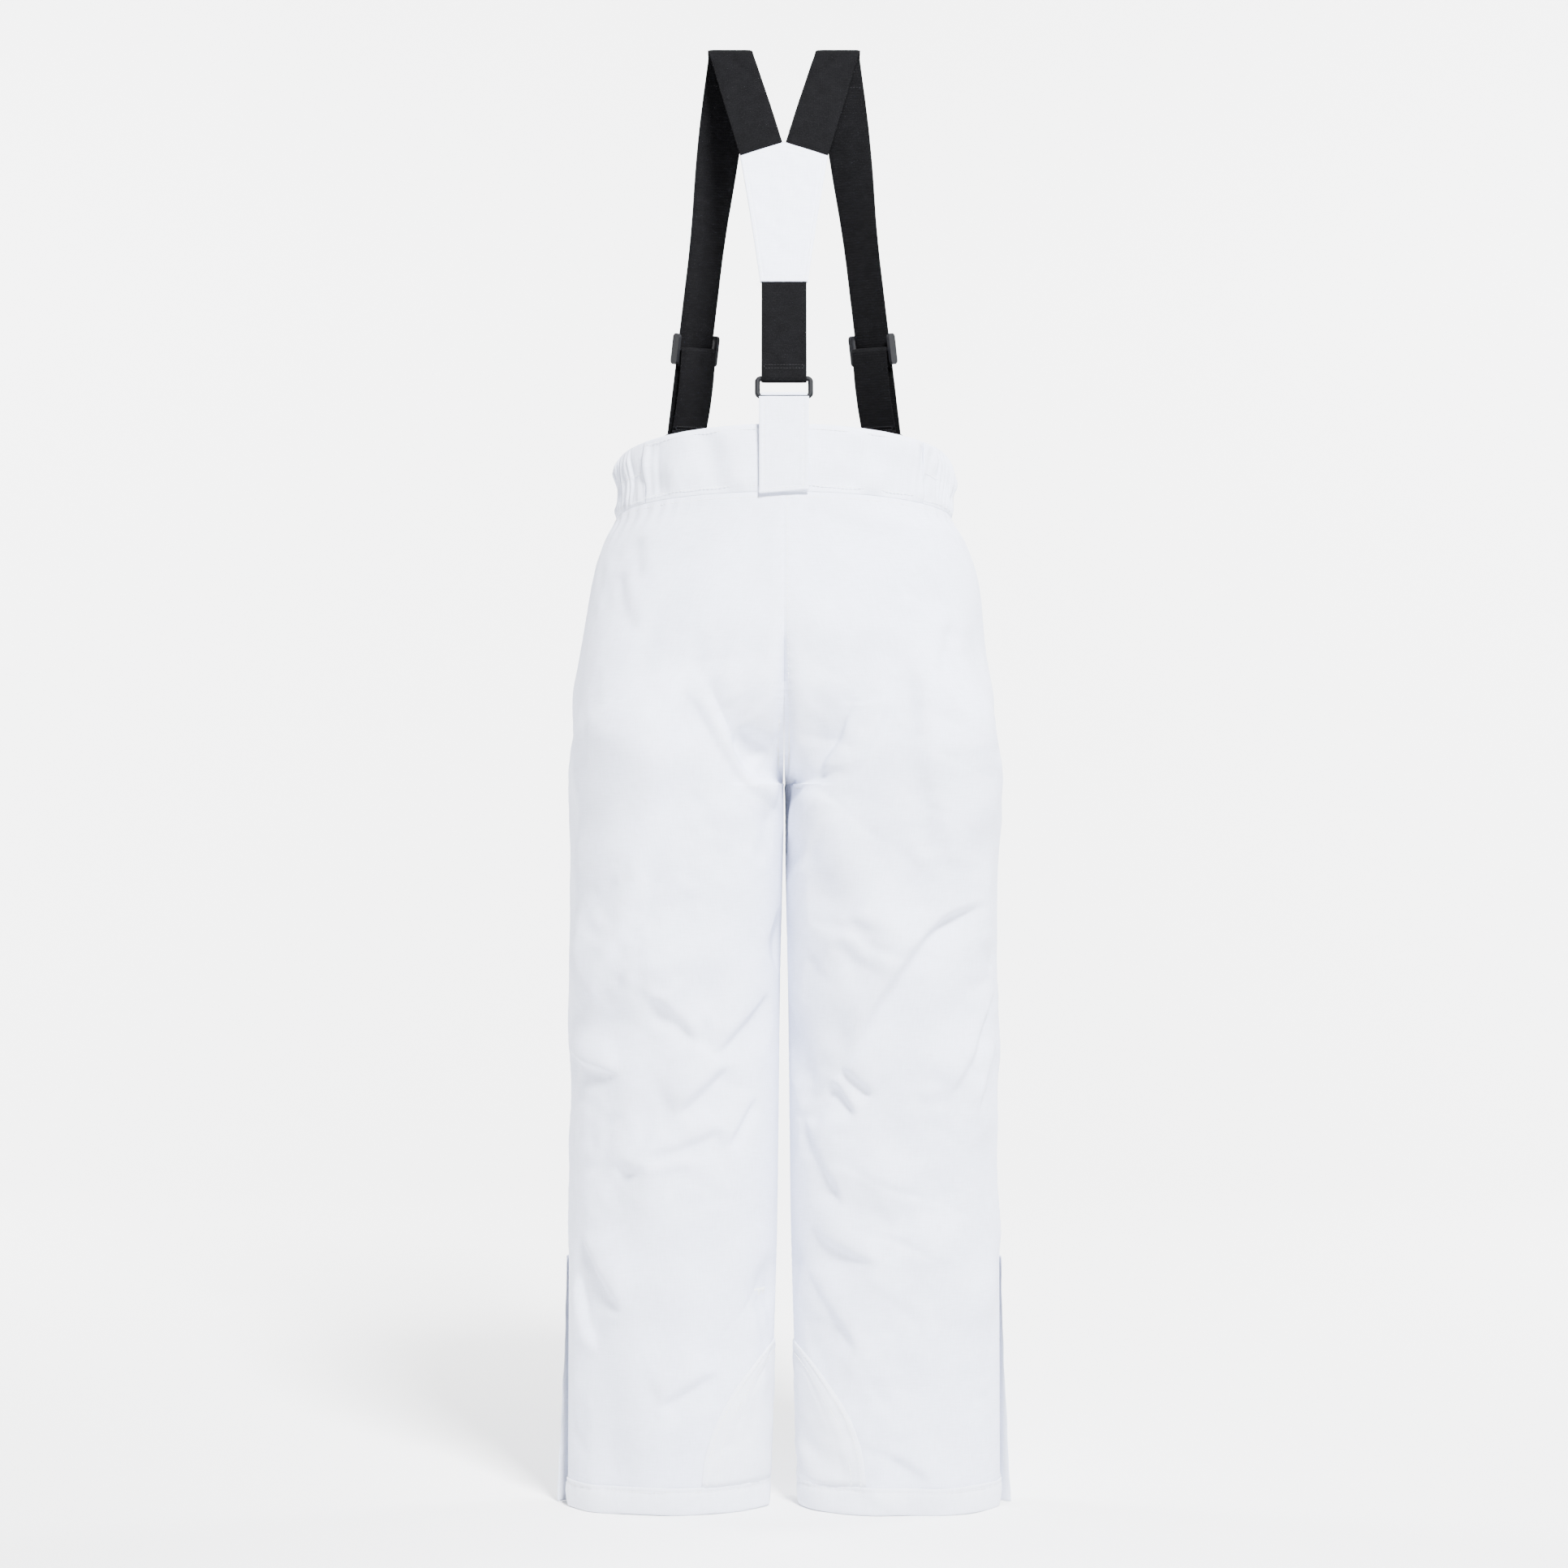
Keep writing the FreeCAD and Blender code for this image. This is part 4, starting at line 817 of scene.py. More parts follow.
def sew(name, lines, pitch=3.6, length=2.8, radius=0.3, material=None, body="pants", sink=0.12):
    """Rows of stitches along lines of (points, normals)."""
    centres, along, normals = [], [], []
    for points, line_normals in lines:
        index = resample(points, pitch)
        p, n = at_index(points, index), unit_rows(at_index(line_normals, index))
        middle = (p[1:] + p[:-1]) / 2
        centres.append(middle - (n[1:] + n[:-1]) / 2 * sink)
        along.append(p[1:] - p[:-1])
        normals.append(n[1:] + n[:-1])
    return beads(name, np.concatenate(centres), np.concatenate(along), np.concatenate(normals), length, radius,
                 material or THREAD, body, arch=0.14)


def catmull(points, steps):
    """A smooth curve through a few points, evenly stepped in index."""
    points = np.asarray(points, float)
    padded = np.concatenate([2 * points[:1] - points[1:2], points, 2 * points[-1:] - points[-2:-1]])
    at = np.linspace(0, len(points) - 1, steps)
    i = np.clip(at.astype(int), 0, len(points) - 2)
    t = (at - i)[:, None]
    p0, p1, p2, p3 = (padded[i + k] for k in range(4))
    return 0.5 * (2 * p1 + (p2 - p0) * t + (2 * p0 - 5 * p1 + 4 * p2 - p3) * t ** 2
                  + (3 * p1 - p0 - 3 * p2 + p3) * t ** 3)


def crowded(count, power):
    """Steps from -1 to 1 that are finer towards both ends."""
    u = np.linspace(-1, 1, count)
    return np.sign(u) * (1 - (1 - np.abs(u)) ** power)


def even(points, *others, pitch=3.0):
    """The same curve in equal steps."""
    index = resample(points, pitch)
    return [at_index(np.asarray(values, float), index) for values in (points, *others)]


# ---------------------------------------------------------------- layers inside the shell
for side, word in SIDES:
    for kind, outer, inner, material, low in (("wadding", -1.4, -3.0, WADDING, 26),
                                              ("lining", -3.6, -4.1, LINING, 9)):
        for front, face in FACES:
            panel = PANELS[side, front]
            rows = slice(int(np.searchsorted(panel.level, HEM + low)), None)
            layer = panel.mesh(f"{kind}_{face}_{word}", outer, inner, material, step=2, rows=rows)
            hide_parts(f"{kind}_{word}")

# ---------------------------------------------------------------- seams' stitches
for side, word in SIDES:
    lines = []
    for front in (False, True):
        panel = PANELS[side, front]
        z = np.linspace(HEM + 26, -52, 260)
        if front:
            legs = z[z < CROTCH - 6]
            lines.append(panel.at(legs, angle_for_girth(True, np.full(len(legs), 3.4), legs)))
        level = np.linspace(ANKLE_ZIP_TOP + 6, -49, 220)
        if not front:
            lines.append(panel.at(level, angle_for_girth(False, np.full(len(level), 3.4), level)))
        around = np.linspace(0.02, np.pi - 0.02, 90)
        lines.append(panel.at(np.full(90, WAIST_SEAM - 4.2), around))
    sew(f"seam_stitches_{word}", lines)
middle_lines = []
for front, top in ((False, -50.0), (True, CROTCH + 92)):
    level = np.linspace(CROTCH + 8, top, 120)
    far = angle_for_girth(front, girth_at(level, front, level * 0 + np.pi) - 3.2, level)
    middle_lines.append(PANELS[RIGHT, front].at(level, far))
sew("middle_seam_stitches", middle_lines)


# ---------------------------------------------------------------- hems and scuff guards
def leg_ring(side, level, shares, offset):
    """Points round one leg: share -1 is the zip's back edge, 0 the inseam and 1 the zip's front edge."""
    level, shares, offset = np.broadcast_arrays(*[np.asarray(v, float) for v in (level, shares, offset)])
    points, normals = np.zeros(shares.shape + (3,)), np.zeros(shares.shape + (3,))
    for front in (False, True):
        panel = PANELS[side, front]
        first = np.interp(np.maximum(level, HEM + 2), panel.level, panel.first)
        p, n = panel.at(level, np.pi - np.abs(shares) * (np.pi - first), offset)
        here = (shares > 0) == front
        points[here], normals[here] = p[here], n[here]
    points[..., 2] = np.where(level < HEM + 2, level, points[..., 2])
    return points, normals


HEM_SECTION = [(24.0, 0.25), (23.8, 1.0), (22.6, 1.25), (21.0, 1.05), (20.0, 0.65), (19.0, 1.15), (16.5, 1.7),
               (12.0, 2.0), (7.0, 1.95), (3.0, 1.6), (0.9, 0.9), (0.0, -0.3), (0.1, -1.8), (1.2, -3.0),
               (5.0, -3.6), (14.0, -3.4), (22.0, -3.3), (22.3, -2.9), (14.0, -2.6), (6.0, -1.4), (6.0, -0.9),
               (16.0, -0.1)]
for side, word in SIDES:
    shares = np.linspace(-1, 1, 241)
    girth = shares * 240
    rings, grain = [], []
    for h, offset in HEM_SECTION:
        outer = offset > 0.2
        ripple = 0.3 * np.sin(girth * 2 * np.pi / 8.4 + 1.2 * np.sin(girth / 13.0)) * bump(h - 20, 6) * outer
        ripple = ripple + 0.35 * waves(100 + side, 22, 60, 10)(girth, girth * 0 + h) * outer
        corner = 7.0 * smooth(np.abs(shares), 0.955, 1.0) ** 2 * (1 - h / 24.0)
        points, _ = leg_ring(side, HEM + h + corner, shares, offset + ripple)
        rings.append(points)
        grain.append(np.stack([girth, girth * 0 + h + (40 if not outer else 0)], -1))
    rings, grain = np.stack(rings, 1), np.stack(grain, 1)
    hem = tube(f"hem_{word}", rings, GUARD, grain)
    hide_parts(f"hem_band_{word}")
    sew(f"hem_stitches_{word}", [leg_ring(side, HEM + 20.0, np.linspace(-0.985, 0.985, 200), 0.95)])
    # the guard is a rounded patch round the inseam with two rows of raised topstitching
    v = np.linspace(0, 1, 44) ** 0.8
    u = crowded(71, 1.3)
    reach = GUARD_WIDE * np.sqrt(np.clip(1 - v ** 2, 0.0004, 1)) / SHARE_GIRTH
    level = HEM + HEM_HEIGHT - 0.5 + GUARD_TALL * v * 0.995
    inset = np.minimum((1 - np.abs(u))[None] * reach[:, None] * SHARE_GIRTH, (1 - v)[:, None] * GUARD_TALL)
    rise = 0.25 + 1.15 * smooth(inset, -0.4, 1.8) - 0.45 * bump(inset - 3.4, 1.1) - 0.45 * bump(inset - 10.5, 1.1)
    share = u[None] * reach[:, None]
    ripple = 0.3 * waves(120 + side, 16, 44, 14)(share * 240, level[:, None] + share * 0)
    outer, _ = leg_ring(side, level[:, None] + share * 0, share, rise + ripple * smooth(inset, 2, 8))
    inner, _ = leg_ring(side, level[:, None] + share * 0, share, 0.15)
    grain = np.stack([share * 240, level[:, None] + share * 0], -1)
    guard = slab_mesh(f"ankle_guard_{word}", outer, inner, GUARD, grain)
    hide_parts(f"scuff_guard_{word}")
    lines = []
    for inside in (3.4, 10.5):
        turn = np.linspace(0.0, np.pi, 120)
        wide, tall = GUARD_WIDE - inside * 0.6, GUARD_TALL - inside
        share = wide * np.cos(turn) / SHARE_GIRTH
        lines.append(leg_ring(side, HEM + HEM_HEIGHT + tall * np.sin(turn), share, 1.15))
    sew(f"guard_stitches_{word}", lines, pitch=4.0, length=3.2, radius=0.5)


# ---------------------------------------------------------------- zips
def chain_pieces(name, chain, node):
    """Two woven tapes with a cord edge, two rows of coil and the end stops."""
    length = np.linspace(0, chain.length, max(12, int(chain.length / 3)))
    for way, end in ((1, "a"), (-1, "b")):
        across = np.array([0.7, 1.4, 3, 6, 9, 10.9])
        lift = np.array([-6.6, -6.75, -7.05, -7.0, -7.0, -7.05])
        outer = chain.point(way * across[None], lift[None], length[:, None])
        inner = chain.point(way * across[None], lift[None] - 0.5, length[:, None])
        grain = stacked(across[None] * way, length[:, None])
        tape = slab_mesh(f"{name}_tape_{end}", outer, inner, ZIP_TAPE, grain)
        if way == 1:
            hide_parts(node)
    at = np.arange(5.0, chain.length - 4.5, 0.75)
    way = np.where(np.arange(len(at)) % 2 == 0, 1.0, -1.0)
    centres = chain.point(way * 1.25, np.full(len(at), -5.75), at)
    along = np.broadcast_to(chain.across, centres.shape) * way[:, None]
    normals = np.broadcast_to(chain.out, centres.shape)
    coil = beads(f"{name}_coil", centres, along, normals, 2.9, 0.5, COIL, arch=0.25)
    ends = np.array([1.9, chain.length - 2.2])
    stop = beads(f"{name}_stops", chain.point(ends * 0, ends * 0 - 5.8, ends),
                 np.broadcast_to(chain.across, (2, 3)), np.broadcast_to(chain.out, (2, 3)), 5.4, 0.95, METAL)


for side, word in SIDES:
    chain_pieces(f"ankle_zip_{word}", ANKLE.on(side), f"ankle_zip_chain_{word}")
    chain_pieces(f"pocket_zip_{word}", POCKET.on(side), f"pocket_zip_chain_{word}")
chain_pieces("fly_zip", FLY, "fly_zip_chain")


# ---------------------------------------------------------------- ankles: gusset and storm flap
for side, word in SIDES:
    flip = FLIP[side]
    z = np.linspace(HEM + 3, ANKLE_ZIP_TOP + 5, 70)
    y = np.linspace(-18, 18, 29)
    sag = 1.6 * (0.5 + 0.5 * np.sin(y[None] * 0.62 + z[:, None] * 0.015 + side))
    sag = sag * smooth(z[:, None], HEM, HEM + 20) * (1 - smooth(np.abs(y[None]), 11, 18))
    x = side_reach(z - CROTCH)[:, None] - 10.0 - sag
    outer = stacked(x, y[None], z[:, None])
    grain = stacked(y[None], z[:, None])
    gusset = slab_mesh(f"gusset_{word}", outer * flip, (outer - [0.7, 0, 0]) * flip, GUSSET, grain)
    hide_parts(f"ankle_gusset_{word}")
    stand = curve((0, 9.5), (70, 6.5), (150, 3.2), (214, 1.8))
    h = np.linspace(0.5, 212, 90)
    x = side_reach(HEM + h - CROTCH)
    wobble = 0.35 * np.sin(h / 11.0 + side) + 0.25 * np.sin(h / 5.1)
    sections = []
    for layer in (0.0, 1.2):
        lines = np.stack([
            np.stack([x - (4.4 if layer == 0.0 else 3.2) + 3.0 + layer * 0.1, h * 0 + 17.5 + layer * 0.2], -1),
            np.stack([x + 1.2 + layer, h * 0 + 11.5 + layer * 0.3], -1),
            np.stack([x + mix(1.8, stand(h), 0.45) + layer * 0.7 + wobble * 0.4, h * 0 + 7.4 + layer * 0.7], -1),
            np.stack([x + stand(h) + wobble * 0.6, h * 0 + 5.3 + layer], -1)], 1)
        fine = np.stack([catmull(line, 14) for line in lines])
        sections.append(stacked(fine[..., 0], fine[..., 1], (HEM + h)[:, None]))
    outer, inner = sections[1], sections[0]
    swell = np.zeros(14)
    swell[[9, 12]] = -0.22
    outer = outer + (outer - inner) * swell[None, :, None]
    grain = stacked(np.linspace(0, 16, 14)[None], h[:, None])
    flap = slab_mesh(f"storm_flap_{word}", outer * flip, inner * flip, TRIM, grain)
    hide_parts(f"ankle_storm_flap_{word}")
    out = unit_rows(outer - inner)
    sew(f"flap_stitches_{word}", [(outer[2:-2, 9] * flip, out[2:-2, 9] * flip), (outer[2:-2, 1] * flip,
                                                                                out[2:-2, 1] * flip)])

# ---------------------------------------------------------------- snow gaiters
def cuff(name, rings, girth, heights, material):
    """A sleeve that closes on itself: rings is (places round it, points of its section)."""
    rings = np.concatenate([rings, rings[:1]])
    grain = stacked(np.linspace(0, girth, len(rings))[:, None], np.asarray(heights, float)[None])
    piece = tube(name, rings, material, grain, caps=False)
    return piece


for side, word in SIDES:
    turn = np.linspace(0, 2 * np.pi, 181)[:-1]
    h = np.linspace(26, 189, 60)
    a = curve((26, 60), (60, 61), (120, 67), (172, 76), (190, 80.5))(h)[:, None]
    b = curve((26, 39), (60, 40), (120, 45), (172, 52), (190, 55.5))(h)[:, None]
    above = HEM + h - CROTCH
    middle = ((side_reach(above) - 12 + inner_reach(above) + 4) / 2)[:, None]
    pleat = np.sin(turn * 46 + 1.3 * np.sin(turn * 7)) * (0.5 + 0.5 * bump(h[:, None] - 40, 30))
    gather = 1.1 * (pleat - 1) * smooth(h[:, None], 26, 30)
    outer = stacked(middle + (a + gather) * np.cos(turn), (b + gather) * np.sin(turn),
                                         HEM + h[:, None])
    inner = stacked(middle + (a + gather - 0.6) * np.cos(turn), (b + gather - 0.6) * np.sin(turn),
                                         HEM + h[:, None])
    rings = np.concatenate([outer, inner[::-1]]).transpose(1, 0, 2) * FLIP[side]
    gaiter = cuff(f"gaiter_{word}", rings, 320, np.concatenate([h, h[::-1]]), LINING)
    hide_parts(f"snow_gaiter_{word}")
    hug = 0.5 * np.sin(turn * 60)
    grip = [(27, 0.9), (27, -0.6), (52, -0.6), (52, 0.9)]
    rings = np.stack([np.stack([float(middle[0, 0]) + (58.6 + hug + o) * np.cos(turn),
                                (37.6 + hug + o) * np.sin(turn), turn * 0 + HEM + g], -1) for g, o in grip], 1)
    cuff(f"gaiter_elastic_{word}", rings * FLIP[side], 300, (0, 0, 25, 25), HOOKS)


# ---------------------------------------------------------------- waistband
def band_tilt(t, front):
    k = int(front)
    return mix(SEAM_TILT[k], TOP_TILT[k], t)


def band_point(front, angle, t, offset):
    """A point on the right half of the waistband: t runs from the waist seam (0) to the top edge (1)."""
    front = np.broadcast_to(front, np.shape(angle))
    t = np.broadcast_to(t, np.shape(angle)).astype(float)
    offset = np.broadcast_to(offset, np.shape(angle))
    points = np.zeros(np.shape(angle) + (3,))
    for f in (False, True):
        here = front == f
        if here.any():
            points[here] = place(mix(WAIST_SEAM, 0, t[here]), band_tilt(t[here], f), f,
                                 np.asarray(angle)[here], offset[here])
    return points


# the section of the padded band: place along its height, offset from the outer face, and share of puffing
BAND_SECTION = [(-0.01, -1.2, 0), (-0.01, -0.5, 0), (0.01, -0.1, 0.1), (0.05, 0.1, 0.4), (0.1, 0.25, 0.75),
                (0.16, 0.35, 1), (0.24, 0.4, 1), (0.32, 0.45, 1), (0.4, 0.5, 1), (0.48, 0.5, 1), (0.56, 0.5, 1),
                (0.64, 0.5, 1), (0.72, 0.5, 1), (0.8, 0.5, 1), (0.88, 0.45, 0.8), (0.94, 0.35, 0.5),
                (0.98, 0.1, 0.2), (1.0, -0.4, 0),
                (1.006, -1.2, 0), (0.995, -2.1, 0), (0.97, -2.6, 0), (0.8, -2.8, 0), (0.5, -2.8, 0),
                (0.25, -2.8, 0), (0.03, -2.7, 0), (-0.01, -2.2, 0)]


def band_piece(name, signed_angle, puff, wrap, node):
    """A stretch of band. signed_angle is negative at the back; wrap says which half each station is on."""
    rings, grain = [], []
    front = signed_angle > 0
    angle = np.abs(signed_angle)
    for t, offset, share in BAND_SECTION:
        p = band_point(front, angle, np.full(len(angle), t), offset + puff(t) * share)
        p[:, 0] *= wrap
        rings.append(p)
    rings = np.stack(rings, 1)
    run = np.concatenate([[0], np.cumsum(np.linalg.norm(np.diff(rings[:, 8], axis=0), axis=1))])
    heights = np.array([t * 48 + (60 if o < -1.5 else 0) for t, o, _ in BAND_SECTION])
    grain = stacked(run[:, None], heights[None])
    piece = tube(name, rings, TRIM, grain)
    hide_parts(node)


def band_line(front, angle, t, offset, side=1):
    """Points along the band, and the way out of it there."""
    p = band_point(front, angle, np.full(len(angle), t), offset)
    q = band_point(front, angle, np.full(len(angle), t), offset + 1)
    p[:, 0] *= side
    q[:, 0] *= side
    return p, q - p


def drag(seed, size):
    """Soft slanting pulls across the band."""
    field = waves(seed, 26, 70, 22, slant=(0.5, 0.5))
    return lambda run, t: size * field(run, t * BAND_TALL)


# the back: right half and left half in one piece
half = np.linspace(ELASTIC_ANGLE + 0.01, np.pi, 110)
signed = np.concatenate([-half, -half[::-1][1:]])
wrap = np.concatenate([np.ones(110), -np.ones(109)])
run = np.linspace(0, 1, len(signed)) * 250
pull = drag(201, 1.25)
gathered = smooth(np.abs(run - 125), 92, 124)
band_piece("back_band", signed, lambda t: 0.6 * math.sin(math.pi * min(max(t, 0), 1)) ** 0.6 + pull(run, t)
           + 0.2 * np.sin(run * 2 * np.pi / 9) * bump(t - 0.04, 0.12)
           + 0.5 * gathered * np.sin(run * 2 * np.pi / 9.5 + 3 * t), wrap, "waistband_back")
back_line = []
for t, lift in ((0.09, 0.15), (0.93, 0.05)):
    p, n = band_line(False, np.abs(signed), t, 1.0, wrap)
    back_line.append((p + n * lift, n))
sew("back_band_stitches", back_line)
# the sides are gathered on elastic, in two channels
for side, word in SIDES:
    signed = np.linspace(-ELASTIC_ANGLE, ELASTIC_ANGLE, 250)
    run = np.linspace(0, 176, len(signed))
    hold = smooth(run, 8, 40) * smooth(176 - run, 0, 12)
    beat = run * 2 * np.pi / 8.2 + 1.5 * np.sin(run / 9.0 + side) + 0.9 * np.sin(run / 4.3)

    def side_puff(t, beat=beat, run=run, hold=hold, side=side):
        lobes = abs(math.sin(2 * math.pi * min(max(t, 0), 1))) ** 0.6
        sway = 1.1 * math.sin(t * 7.0 + side) + 0.5 * np.sin(run / 6.0 + t * 9)
        pleat = 0.5 + 0.5 * np.sin(beat + sway)
        bulge = bump(run - 92, 36) * (5.0 * bump(t - 0.6, 0.2) if side == RIGHT
                                      else 3.4 * bump(t - 0.9, 0.14) - 1.2 * bump(t - 0.45, 0.2))
        return hold * (0.2 + 2.6 * lobes * (0.25 + 0.75 * pleat ** 0.8) + 1.6 * pleat * (1 - lobes) + bulge) \
            + 0.5 * waves(230 + side, 12, 30, 12)(run, run * 0 + t * BAND_TALL)

    band_piece(f"side_band_{word}", signed, side_puff, np.full(len(signed), side), f"waistband_side_{word}")
    lines = []
    for t in (0.5, 0.06):
        p, n = band_line(signed > 0, np.abs(signed), t, 1.0)
        pleat = 0.5 + 0.5 * np.sin(beat + 1.1 * math.sin(t * 7.0 + side) + 0.5 * np.sin(run / 6.0 + t * 9))
        lift = hold * (0.2 + 1.6 * pleat) if t == 0.5 else hold * 0.1
        lines.append(((p + n * lift[:, None]) * FLIP[side], n * FLIP[side]))
    sew(f"side_band_stitches_{word}", lines, pitch=3.2, length=2.5)


def band_angle(x):
    return angle_at(x, RISE - 22)


# the front, right and left of the fastening
front_angles = np.linspace(ELASTIC_ANGLE + 0.01, band_angle(-14), 90)
run = np.linspace(0, 110, 90)
pull = drag(205, 0.25)
band_piece("front_band_right", front_angles, lambda t: pull(run, t) * (1 - smooth(run, 50, 66)),
           np.ones(90), "waistband_front_right")
left_angles = np.linspace(ELASTIC_ANGLE + 0.01, band_angle(21.2), 90)
left_x = outline(RISE - 22, True, left_angles)[0]
thick = curve((0, 4.4), (26, 4.4), (36, 0), (150, 0))(left_x)
pull_left = drag(206, 0.25)
band_piece("front_band_left", left_angles, lambda t: thick + pull_left(run, t) * (1 - smooth(run, 60, 80)),
           -np.ones(90), "waistband_front_left")
front_lines = []
for side, angles, extra in ((RIGHT, front_angles, 0), (LEFT, left_angles, thick)):
    front_lines += [band_line(True, angles, t, 0.95 + extra, side) for t in (0.09, 0.93)]
sew("front_band_stitches", front_lines)

# the tab that closes the waistband over two snaps
tab_u = np.linspace(0, 1, 60)
tab_angles = np.interp(tab_u, [0, 1], [band_angle(44.0), band_angle(-18.4)])
tab_t = np.linspace(0, 1, 25)
round_end = np.sqrt(np.clip(1 - (1 - np.clip(tab_u / 0.16, 0, 1)) ** 2.6, 0.0, 1)) * 0.32 + 0.68
centre_t = 0.5 + (tab_t[None] - 0.5) * 0.94 * round_end[:, None]
inset = np.minimum(np.minimum(tab_t, 1 - tab_t)[None] * TAB_TALL * round_end[:, None], (tab_u * TAB_LONG)[:, None])
puff = 0.55 * smooth(inset, 0, 2.2) - 0.5 * bump(inset - 3.6, 1.0)
outer_offset = np.clip(4.75 + puff, None, 5.32)
angle_grid = np.broadcast_to(tab_angles[:, None], centre_t.shape)
outer = band_point(True, angle_grid, centre_t, outer_offset)
inner = band_point(True, angle_grid, centre_t, 3.7 + 0.3 * (1 - smooth(inset, 0, 1.5)))
grain = stacked(tab_u[:, None] * TAB_LONG, centre_t * BAND_TALL)
tab = slab_mesh("tab_cloth", outer, inner, TRIM, grain, body="waist_fastener")
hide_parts("waist_tab")
walk = [(u, 0.09) for u in np.linspace(0.98, 0.07, 40)] + [(0.06, k) for k in np.linspace(0.09, 0.91, 20)]
walk += [(u, 0.91) for u in np.linspace(0.07, 0.98, 40)]
edge = np.array([(u, 0.5 + (k - 0.5) * 0.94 * (math.sqrt(max(1 - (1 - min(u / 0.16, 1)) ** 2.6, 0)) * 0.32 + 0.68))
                 for u, k in walk])
edge_angle = np.interp(edge[:, 0], [0, 1], [tab_angles[0], tab_angles[-1]])
p = band_point(True, edge_angle, edge[:, 1], 5.0)
sew("tab_stitches", [(p, band_point(True, edge_angle, edge[:, 1], 6.0) - p)], body="waist_fastener")


# ---------------------------------------------------------------- fly and pockets
def roll(name, rings, length):
    grain = stacked(np.arange(rings.shape[1])[None] * 1.2, length[:, None])
    piece = tube(name, rings, TRIM, grain)


def welt(name, side, chain, way, low, high):
    """A folded edge beside a zip, following the panel's surface."""
    length = np.linspace(low, high, int((high - low) / 2.2))
    section = [(9.8, 0.15), (9.6, 0.7), (8.6, 1.0), (7.4, 1.2), (6.3, 1.35), (5.4, 1.1), (5.05, 0.4), (5.1, -0.6),
               (5.6, -1.6), (6.6, -2.6), (9.0, -1.4)]
    panel = PANELS[side, True]
    rings = []
    for across, offset in section:
        flat = chain.low + chain.along * length[:, None] + chain.across * (way * across)
        angle = angle_for_x(True, np.abs(flat[:, 0]), flat[:, 2])
        p, n = panel.at(flat[:, 2], angle, offset)
        shift = (flat - p) @ chain.across
        rings.append(p + chain.across * np.clip(shift, -7, 7)[:, None])
    rings = np.stack(rings, 1)
    roll(name, rings, length)
    n = rings[:, 2] - rings[:, -1]
    sew(f"{name}_stitches", [(rings[2:-2, 2], unit_rows(n[2:-2]))])


for side, word in SIDES:
    for way, end in ((1, "a"), (-1, "b")):
        welt(f"pocket_welt_{word}_{end}", side, POCKET.on(side), way, -3.0, POCKET.length + 2.5)
    # the bag behind the panel
    grids = []
    share = np.linspace(0, 1, 30)
    z = mix(CROTCH + 82, CROTCH + 207, share)
    k = (z - CROTCH - POCKET_LOW[1]) / (POCKET_TOP[1] - POCKET_LOW[1])
    for offset in (-11.6, -12.9):
        lines = []
        for level, kk in zip(z, k):
            x = np.linspace(mix(POCKET_LOW[0], POCKET_TOP[0], kk) + 9, 56, 24)
            angle = np.array([angle_at(v, level - CROTCH) for v in x])
            lines.append(place(level, 0.0, True, angle, offset))
        grids.append(np.array(lines))
    soft = 0.5 * waves(300 + side, 20, 60, 12)(grids[0][..., 0], grids[0][..., 2])
    grids[1][..., 1] -= np.clip(soft, 0, 1)
    flip = FLIP[side]
    bag = slab_mesh(f"pocket_bag_cloth_{word}", grids[0] * flip, grids[1] * flip, LINING, grids[0][..., [0, 2]])
    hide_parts(f"pocket_bag_{word}")
for side, word in SIDES:
    z = np.linspace(CROTCH + 95, CROTCH + 222, 60)
    section = [(11.5, 0.1), (11.3, 0.7), (10.0, 1.0), (8.0, 1.2), (6.6, 1.3), (5.6, 1.0), (5.3, 0.2), (5.5, -1.0),
               (6.4, -2.0), (9.5, -1.5)]
    rings = []
    for across, offset in section:
        angle = angle_for_x(True, np.full(60, across), z)
        p, _ = PANELS[side, True].at(z, angle, offset)
        p[:, 0] = side * across
        rings.append(p)
    rings = np.stack(rings, 1)
    roll(f"fly_welt_{word}", rings, z)
    n = np.broadcast_to(np.array([0.0, 1, 0]), rings[:, 3].shape)
    sew(f"fly_welt_stitches_{word}", [(rings[1:-1, 3], n[1:-1])])
z = np.linspace(CROTCH + 92, CROTCH + 217, 40)
x = np.linspace(-24, 14, 14)
depth = front_depth(z - CROTCH)[:, None]
ripple = 0.25 * np.sin(z / 9.0)[:, None] - 0.25
outer = stacked(x[None], depth - 10.9 + ripple, z[:, None])
facing = slab_mesh("fly_facing_cloth", outer, outer - [0, 0.8, 0], LINING, outer[..., [0, 2]])
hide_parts("fly_facing")


# ---------------------------------------------------------------- webbing
def ribbon(name, points, across, width, thickness, material, body, pitch=2.5):
    """Webbing along a line: rounded selvedges, an even thickness and its own grain."""
    points, across = even(catmull(points, len(points) * 8), catmull(across, len(points) * 8), pitch=pitch)
    across = unit_rows(across)
    n = unit_rows(np.cross(unit_rows(np.gradient(points, axis=0)), across))
    u = np.sin(np.linspace(-np.pi / 2, np.pi / 2, 15)) * 0.5
    half = thickness / 2 * np.clip(1 - (np.abs(u) * 2) ** 14, 0.25, 1)
    run = np.arange(len(points)) * pitch
    section_u = np.concatenate([u, u[::-1]])
    section_n = np.concatenate([half, -half[::-1]])
    rings = (points[:, None] + across[:, None] * (section_u * width)[None, :, None]
             + n[:, None] * section_n[None, :, None])
    grain = stacked(section_u[None] * width, run[:, None])
    return tube(name, rings, material, grain, body), points, across


def unit(v):
    v = np.asarray(v, float)
    return v / np.linalg.norm(v)


SLOPE = 80 / 301


def back_y(z):
    return -88 + (z - RING_Z) * SLOPE


BACK_UP = unit([0, SLOPE, 1])
BACK_OUT = np.array([0, -BACK_UP[2], BACK_UP[1]])


